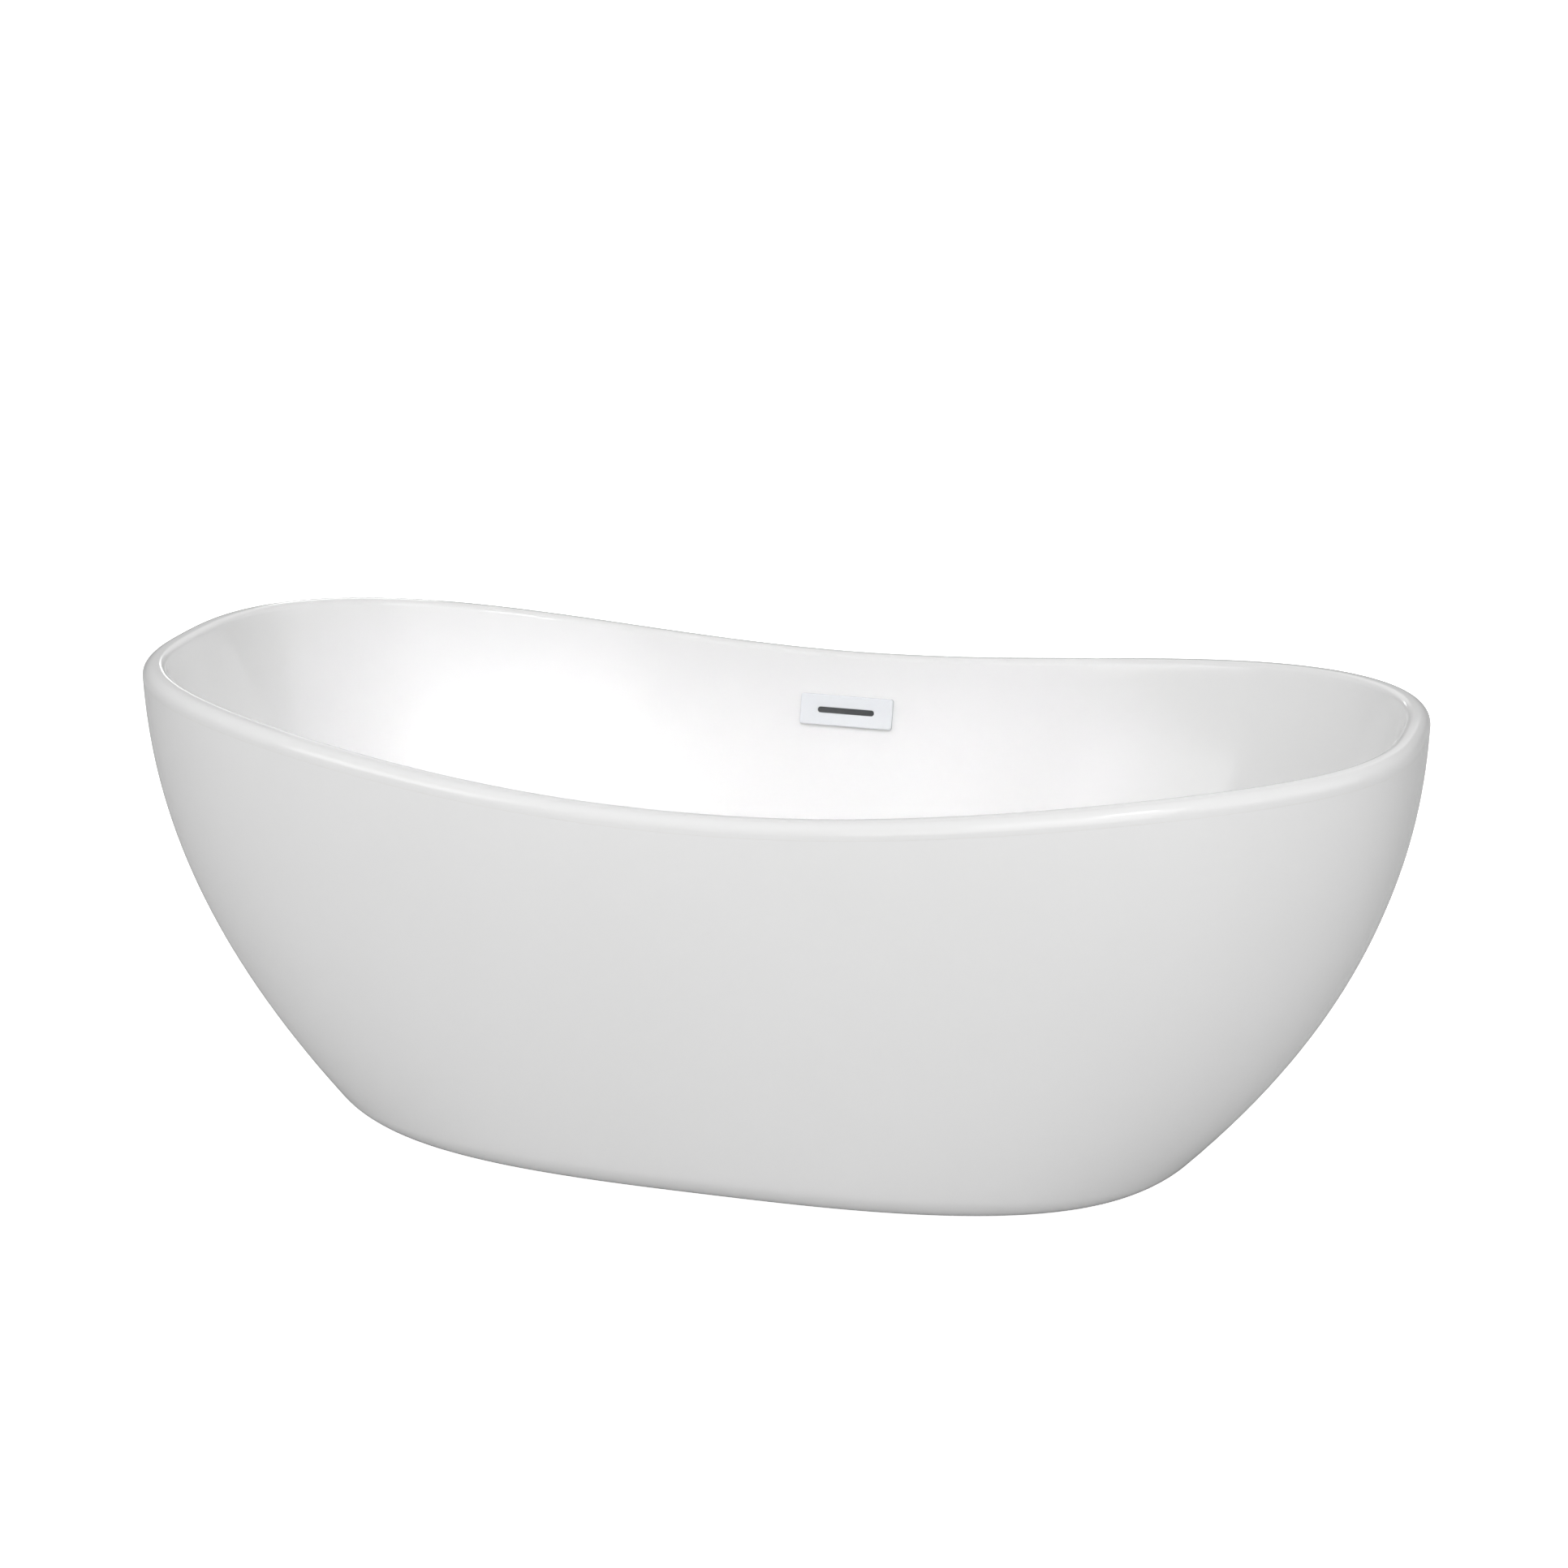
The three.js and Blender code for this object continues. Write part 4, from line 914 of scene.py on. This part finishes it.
stands_for(lip.piece("stopper_seal_lip", "rubber", "stopper"), "stopper_seal")
tip = CAP_UNDERSIDE + 1 - GAP
pin = [(0, 84), (STEM_RADIUS, 84), (STEM_RADIUS, tip), (0, tip)]
stem = lathe(Solid(), pin, 32, 0.6, on_axis=True)
stands_for(stem.piece("stopper_stem_pin", "zinc", "stopper"), "stopper_stem")
outside = [(0, 70), (6, 70), (6, 96.3), (9, 96.3), (9, CARTRIDGE_TOP)]
inside = [(STEM_RADIUS + 0.1, CARTRIDGE_TOP), (STEM_RADIUS + 0.1, 73), (0, 73)]
cartridge = lathe(Solid(), outside + inside, 48, 0.5, on_axis=True)
stands_for(cartridge.piece("stopper_cartridge_barrel", "waste_plastic"), "stopper_cartridge")


def tube_along(solid, path, radii, around, bore=None):
    """A round bar or pipe along points. It has a radius at each point."""
    path = [Vector(p) for p in path]
    last = len(path) - 1
    tangents = [(path[min(i + 1, last)] - path[max(i - 1, 0)]).normalized() for i in range(last + 1)]
    side = tangents[0].orthogonal().normalized()
    frames = []
    for i, t in enumerate(tangents):
        if i:
            side = tangents[i - 1].rotation_difference(t) @ side
        side = (side - t * side.dot(t)).normalized()
        frames.append((side.copy(), t.cross(side)))
    a = angles(around)

    def hoop(i, radius):
        u, v = (np.array(x) for x in frames[i])
        return np.array(path[i]) + radius * (np.outer(np.cos(a), u) + np.outer(np.sin(a), v))

    outside = [hoop(i, r) for i, r in enumerate(radii)]
    if bore is None:
        return solid.rings(outside, close=False, caps=True)
    inside = [hoop(i, bore) for i in range(0, last + 1, 4)] + [hoop(last, bore)]
    return solid.rings(outside + inside[::-1])


WIRE, COIL_RADIUS, COIL_TURNS = 0.9, 6.5, 5
coil_low, coil_high = CARTRIDGE_TOP + GAP + WIRE, PLUG_BOTTOM - GAP - WIRE
coil = []
for s in steps(200):
    closing = 3 * s * s - 2 * s**3  # the end turns lie closer
    a = 2 * math.pi * COIL_TURNS * s
    climb = lerp(coil_low, coil_high, 0.35 * closing + 0.65 * s)
    coil.append((COIL_RADIUS * math.cos(a), COIL_RADIUS * math.sin(a), climb))
spring = tube_along(Solid(), coil, [WIRE] * len(coil), 12).piece("stopper_spring_coil", "spring_steel")
stands_for(spring, "stopper_spring")
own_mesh(spring)

# ---- Overflow ----

PLATE_WIDTH, PLATE_HEIGHT, PLATE_DEPTH, PLATE_CORNER = 130.0, 42.0, 8.0, 3.5
PLATE_EDGE, PLATE_BACK = 2.2, 6.0  # the round at its front edge, and how far out its hollow back lies
SLOT_WIDTH, SLOT_HEIGHT, SLOT_CORNER, SLOT_EDGE = 80.0, 8.0, 9.0, 0.7
CORNER_BITS = 8


def rectangle(width, height, corner, out):
    """A rounded rectangle in the overflow's frame, with the same number of points whatever its size."""
    corner = min(corner, width / 2, height / 2)
    loop = []
    for i, (sx, sy) in enumerate(((1, 1), (-1, 1), (-1, -1), (1, -1))):
        for t in steps(CORNER_BITS):
            a = (i + t) * math.pi / 2
            x = sx * (width / 2 - corner) + corner * math.cos(a)
            y = sy * (height / 2 - corner) + corner * math.sin(a)
            loop.append((x, y, out))
    return np.array(loop)


def plate_loop(inset, corner, out):
    return rectangle(PLATE_WIDTH - inset, PLATE_HEIGHT - inset, corner, out)


def slot_loop(grow, out):
    return rectangle(SLOT_WIDTH + grow, SLOT_HEIGHT + grow, SLOT_CORNER, out)


cover = Solid()
loops = [plate_loop(4, 2, 1), plate_loop(0.6, 3.2, 1), plate_loop(0, PLATE_CORNER, 1.3)]
for t in arc(0, math.pi / 2, 6):
    inset = 2 * PLATE_EDGE * (1 - math.cos(t))
    out = PLATE_DEPTH - PLATE_EDGE + PLATE_EDGE * math.sin(t)
    loops.append(plate_loop(inset, PLATE_CORNER - 0.3 * inset, out))
for t in arc(0, math.pi / 2, 4):
    out = PLATE_DEPTH - SLOT_EDGE + SLOT_EDGE * math.cos(t)
    loops.append(slot_loop(2 * SLOT_EDGE * (1 - math.sin(t)), out))
loops += [slot_loop(0, PLATE_BACK), plate_loop(4, 3, PLATE_BACK)]
cover.rings(loops, move=AT_OVERFLOW)
stands_for(cover.piece("overflow_cover_moulded", "white_plastic", sharp=50), "overflow_cover")

# A dark carrier clips into the cover's back, in front of the body, and closes the view through the slot. Its
# dark grey is painted shade: a dark sheet that stands in for the shade inside the slot.
# Its steps: width, height, corner, and distance out of the wall.
CARRIER_STEPS = [(108, 24, 3, 4.3), (110, 26, 4, 4.6), (110, 26, 4, 5.5)]
CARRIER_STEPS += [(109, 25, 4, 5.8), (84, 11, 5, 5.8), (83, 10, 5, 5.5)]
carrier = Solid()
carrier.rings([rectangle(*step) for step in CARRIER_STEPS], close=False, caps=True, move=AT_OVERFLOW)
carrier.piece("overflow_carrier_clipped", "rubber", material=PAINTED_SLOT_SHADE)

SPIGOT_BORE, SPIGOT_END, FLANGE_RADIUS, FLANGE_BACK, FLANGE_FRONT = 10.0, -16.0, 18.5, 1.8, 4.0
outside = [(SPIGOT_BORE, SPIGOT_END), (SPIGOT_RADIUS, SPIGOT_END), (SPIGOT_RADIUS, FLANGE_BACK)]
flange_profile = [(FLANGE_RADIUS, FLANGE_BACK), (FLANGE_RADIUS, FLANGE_FRONT), (SPIGOT_BORE, FLANGE_FRONT)]
body = lathe(Solid(), outside + flange_profile, 64, 0.4, AT_OVERFLOW)
stands_for(body.piece("overflow_spigot", "waste_plastic"), "overflow_body")
mouth = SPIGOT_RADIUS + GAP
washer = ring(Solid(), mouth, FLANGE_RADIUS, 0.6, FLANGE_BACK - GAP, 64, 0.3, AT_OVERFLOW)
stands_for(washer.piece("overflow_seal_ring", "rubber"), "overflow_seal")
washer = ring(Solid(), mouth, ELBOW_RADIUS, ELBOW_FRONT + GAP, -WALL - GAP, 64, 0.4, AT_OVERFLOW)
stands_for(washer.piece("overflow_gasket_ring", "rubber"), "overflow_gasket")

DOWN = AT_OVERFLOW @ Matrix.Translation((0, 0, ELBOW_MIDDLE)) @ Matrix.Rotation(math.pi / 2, 4, "X")
back = ELBOW_FRONT - ELBOW_DEPTH
outside = [(0, back), (ELBOW_RADIUS, back), (ELBOW_RADIUS, ELBOW_FRONT)]
inside = [(mouth, ELBOW_FRONT), (mouth, back + 2.5), (0, back + 2.5)]
elbow = lathe(Solid(), outside + inside, 64, 1.2, AT_OVERFLOW, on_axis=True)
neck = [(BARB_BORE, 14), (BARB_RADIUS + 1, 14), (BARB_RADIUS + 1, BARB_START)]
lathe(elbow, [*neck, *barbs(BARB_START)], 48, 0.3, DOWN)
stands_for(elbow.piece("overflow_elbow_moulded", "waste_plastic"), "overflow_elbow")


def smooth_path(points, count):
    """A centripetal Catmull-Rom curve through points, as in the CAD source."""
    p = [Vector(q) for q in points]
    p = [2 * p[0] - p[1], *p, 2 * p[-1] - p[-2]]
    path = []
    for i in range(len(p) - 3):
        a, b, c, d = p[i : i + 4]
        t0 = 0.0
        t1 = t0 + math.sqrt((b - a).length)
        t2 = t1 + math.sqrt((c - b).length)
        t3 = t2 + math.sqrt((d - c).length)
        for s in steps(count)[: count + (i == len(p) - 4)]:
            t = lerp(t1, t2, s)
            ab = a.lerp(b, (t - t0) / (t1 - t0))
            bc = b.lerp(c, (t - t1) / (t2 - t1))
            cd = c.lerp(d, (t - t2) / (t3 - t2))
            abc = ab.lerp(bc, (t - t0) / (t2 - t0))
            bcd = bc.lerp(cd, (t - t1) / (t3 - t1))
            path.append(abc.lerp(bcd, (t - t1) / (t2 - t1)))
    return path


def even(path, step):
    """The same path with points about a step apart, and its length."""
    along = [0.0]
    for a, b in zip(path, path[1:]):
        along.append(along[-1] + (b - a).length)
    count = int(along[-1] / step)
    out, j = [], 0
    for i in range(count + 1):
        want = along[-1] * i / count
        while j < len(path) - 2 and along[j + 1] < want:
            j += 1
        out.append(path[j].lerp(path[j + 1], (want - along[j]) / (along[j + 1] - along[j])))
    return out, along[-1]


HOSE_BORE, HOSE_RADIUS, CUFF = 8.8, 11.2, 21.0
CORRUGATION_PITCH, CORRUGATION_DEPTH = 5.5, 1.3
# The hose's route, from the tee's branch to the elbow's barb, as in the CAD source.
low_run = [(0, y, BRANCH_HEIGHT) for y in (BRANCH_END + GAP, 74, 115)]
rise = [(0, 195, 58), (0, 262, 105), (0, 306, 190), (0, 343, 300)]
down_from_elbow = (-84, -52, -BARB_START - GAP)
hanging = [AT_OVERFLOW @ Vector((0, up, ELBOW_MIDDLE)) for up in down_from_elbow]
path, length = even(smooth_path([*low_run, *rise, *hanging], 40), 1.1)
radii = []
for i in range(len(path)):
    s = i / (len(path) - 1) * length
    wave = 0.5 + 0.5 * math.cos(2 * math.pi * (s - CUFF) / CORRUGATION_PITCH)
    corrugated = HOSE_RADIUS - CORRUGATION_DEPTH * (1 - wave**0.8)
    radii.append(HOSE_RADIUS if min(s, length - s) < CUFF else corrugated)
hose = tube_along(Solid(), path, radii, 32, HOSE_BORE)
hose = hose.piece("overflow_hose_corrugated", "hose_plastic", sharp=60)
stands_for(hose, "overflow_hose")

BAND_INSIDE, BAND_OUTSIDE, BAND_HALF, BAND_SLOT_DEPTH = 11.6, 12.45, 4.0, 0.22


def clamp(name, move):
    """A worm-drive hose clamp: a slotted band, its housing and its screw."""
    count = 96
    slotted = BAND_OUTSIDE - np.where(np.arange(count) % 3 == 0, BAND_SLOT_DEPTH, 0.0)
    half = [(BAND_INSIDE, BAND_HALF), (BAND_OUTSIDE - 0.15, BAND_HALF)]
    half += [(BAND_OUTSIDE, 3.8), (BAND_OUTSIDE, 2.4), (slotted, 2.2)]
    loops = [polar(angles(count), radius, -away) for radius, away in half]
    loops += [polar(angles(count), radius, away) for radius, away in half[::-1]]
    band = Solid().rings(loops, move=move)
    block(band, (5.6, 11, 6.6), (15.1, 0, 0), 1.2, move)
    screw = move @ Matrix.Translation((15.6, 0, 0)) @ Matrix.Rotation(math.pi / 2, 4, "X")
    hexagon(band, 4.9, -6, -4.9, move=screw)
    threaded(band, 1.9, 4.9, 6, 0.9, 20, move=screw)
    stands_for(band.piece(name + "_banded", "zinc"), name)


clamp("hose_clamp_lower", Matrix.Translation((0, 54, BRANCH_HEIGHT)) @ Z_TO_Y)
clamp("hose_clamp_upper", AT_OVERFLOW @ Matrix.Translation((0, -36, ELBOW_MIDDLE)) @ Z_TO_Y)

# ---- Camera, floor and light ----

AZIMUTH, ELEVATION = math.radians(16.86), math.radians(18.85)
level = math.cos(ELEVATION)
back = Vector((math.sin(AZIMUTH) * level, -math.cos(AZIMUTH) * level, math.sin(ELEVATION)))
lens = bpy.data.cameras.new("camera")
lens.sensor_width, lens.lens = 36.0, 82.154
lens.shift_x, lens.shift_y = 0.0084, 0.0845
camera = bpy.data.objects.new("camera", lens)
camera.location = (1.2730, -4.2006, 1.7785)
camera.rotation_euler = back.to_track_quat("Z", "Y").to_euler()
bpy.context.scene.collection.objects.link(camera)
bpy.context.scene.camera = camera


FLOOR_REACH, FLOOR_GLOW = 30.0, 1.0
SKY_LOW, SKY_HIGH, SKY_STRENGTH = 0.15, 0.75, 0.8
SKY_HIGH_AT = 0.9  # the height on a unit sphere where the sky is at its brightest


def to_camera(tree, lit, shown, surface):
    """Gives a stage surface one shader, and another that only the camera's own rays see."""
    seen = tree.nodes.new("ShaderNodeLightPath")
    pick = tree.nodes.new("ShaderNodeMixShader")
    tree.links.new(seen.outputs["Is Camera Ray"], pick.inputs["Fac"])
    tree.links.new(lit, pick.inputs[1])
    tree.links.new(shown, pick.inputs[2])
    tree.links.new(pick.outputs["Shader"], surface)


def studio_floor():
    """Pale paper: it lights the tub as a mid-grey floor would, and the camera sees it white."""
    n = Nodes("studio_floor")
    paper = n.tones(n.noise(60, 3), (0.60, 0.60, 0.60), (0.63, 0.63, 0.63))
    n.set(colour=paper, roughness=0.9)
    glow = n.add("ShaderNodeEmission")
    glow.inputs["Strength"].default_value = FLOOR_GLOW
    both = n.add("ShaderNodeAddShader")
    lit = n.shader.outputs["BSDF"]
    n.link(lit, both.inputs[0])
    n.link(glow.outputs["Emission"], both.inputs[1])
    output = n.tree.nodes["Material Output"]
    to_camera(n.tree, lit, both.outputs["Shader"], output.inputs["Surface"])
    return n.material


sheet = bpy.data.meshes.new("studio_floor")
corners = [(x * FLOOR_REACH, y * FLOOR_REACH, 0) for x, y in ((-1, -1), (1, -1), (1, 1), (-1, 1))]
sheet.from_pydata(corners, [], [(0, 1, 2, 3)])
sheet.materials.append(studio_floor())
floor = bpy.data.objects.new("studio_floor", sheet)
bpy.context.scene.collection.objects.link(floor)


def studio_sky(world):
    """A grey sky that is brighter overhead. The camera sees it as white as the floor."""
    tree = world.node_tree
    sky = tree.nodes["Background"]
    where = tree.nodes.new("ShaderNodeTexCoord")
    apart = tree.nodes.new("ShaderNodeSeparateXYZ")
    tree.links.new(where.outputs["Generated"], apart.inputs["Vector"])
    shade = tree.nodes.new("ShaderNodeMapRange")
    set_range(shade, 0.0, SKY_HIGH_AT, SKY_LOW, SKY_HIGH)
    tree.links.new(apart.outputs["Z"], shade.inputs["Value"])
    tree.links.new(shade.outputs["Result"], sky.inputs["Color"])
    sky.inputs["Strength"].default_value = SKY_STRENGTH
    backdrop = tree.nodes.new("ShaderNodeBackground")
    backdrop.inputs["Color"].default_value = (1, 1, 1, 1)
    surface = tree.nodes["World Output"].inputs["Surface"]
    to_camera(tree, sky.outputs["Background"], backdrop.outputs["Background"], surface)


world = bpy.data.worlds.new("studio")
world.use_nodes = True
bpy.context.scene.world = world
studio_sky(world)


def lamp(name, place, target, width, height, watts, spread=180):
    """A softbox, or with a narrow spread a gridded one. The camera doesn't see it."""
    light = bpy.data.lights.new(name, "AREA")
    light.shape, light.size, light.size_y = "RECTANGLE", width, height
    light.energy, light.spread = watts, math.radians(spread)
    obj = bpy.data.objects.new(name, light)
    obj.location = place
    obj.rotation_euler = (Vector(place) - Vector(target)).to_track_quat("Z", "Y").to_euler()
    obj.visible_camera = False
    bpy.context.scene.collection.objects.link(obj)
    return obj


lamp("camera_softbox", (1.1, -3.6, 3.2), (0, 0, 0.3), 2.4, 2.4, 34)
lamp("low_softbox", (0.9, -4.5, 1.2), (0, 0, 0.4), 3.2, 2.0, 28)
lamp("left_softbox", (-2.6, -3.2, 2.4), (0, 0, 0.4), 2.0, 2.0, 29)
lamp("right_softbox", (3.3, -2.8, 2.4), (0, 0, 0.4), 2.0, 2.0, 8)
lamp("side_softbox", (3.4, -0.5, 2.2), (0, 0, 0.4), 2.0, 2.0, 11)
lamp("back_softbox", (-0.5, 3.4, 2.6), (0, 0, 0.4), 3.0, 2.0, 12)
lamp("rear_fill", (-1.2, 4.6, 0.9), (0, 0, 0.35), 3.0, 1.6, 55).visible_glossy = False
# A small key light and a distant one draw the short glints on the rim.
lamp("key_spot", (1.0, -1.85, 2.75), (0, 0, 0.5), 0.35, 0.35, 5)
lamp("distant_spot", (-3.4, 7.0, 2.4), (0, 0, 0.6), 0.8, 0.8, 7)
# Two gridded strips reach over the near rim to the inner far wall.
lamp("wall_strip", (0.1, -1.3, 2.0), (-0.15, 0.24, 0.38), 1.0, 0.1, 0.28, spread=14)
lamp("wall_left_strip", (-0.1, -1.4, 2.0), (-0.45, 0.2, 0.42), 0.4, 0.1, 0.09, spread=14)

bpy.context.scene.view_settings.view_transform = "Standard"
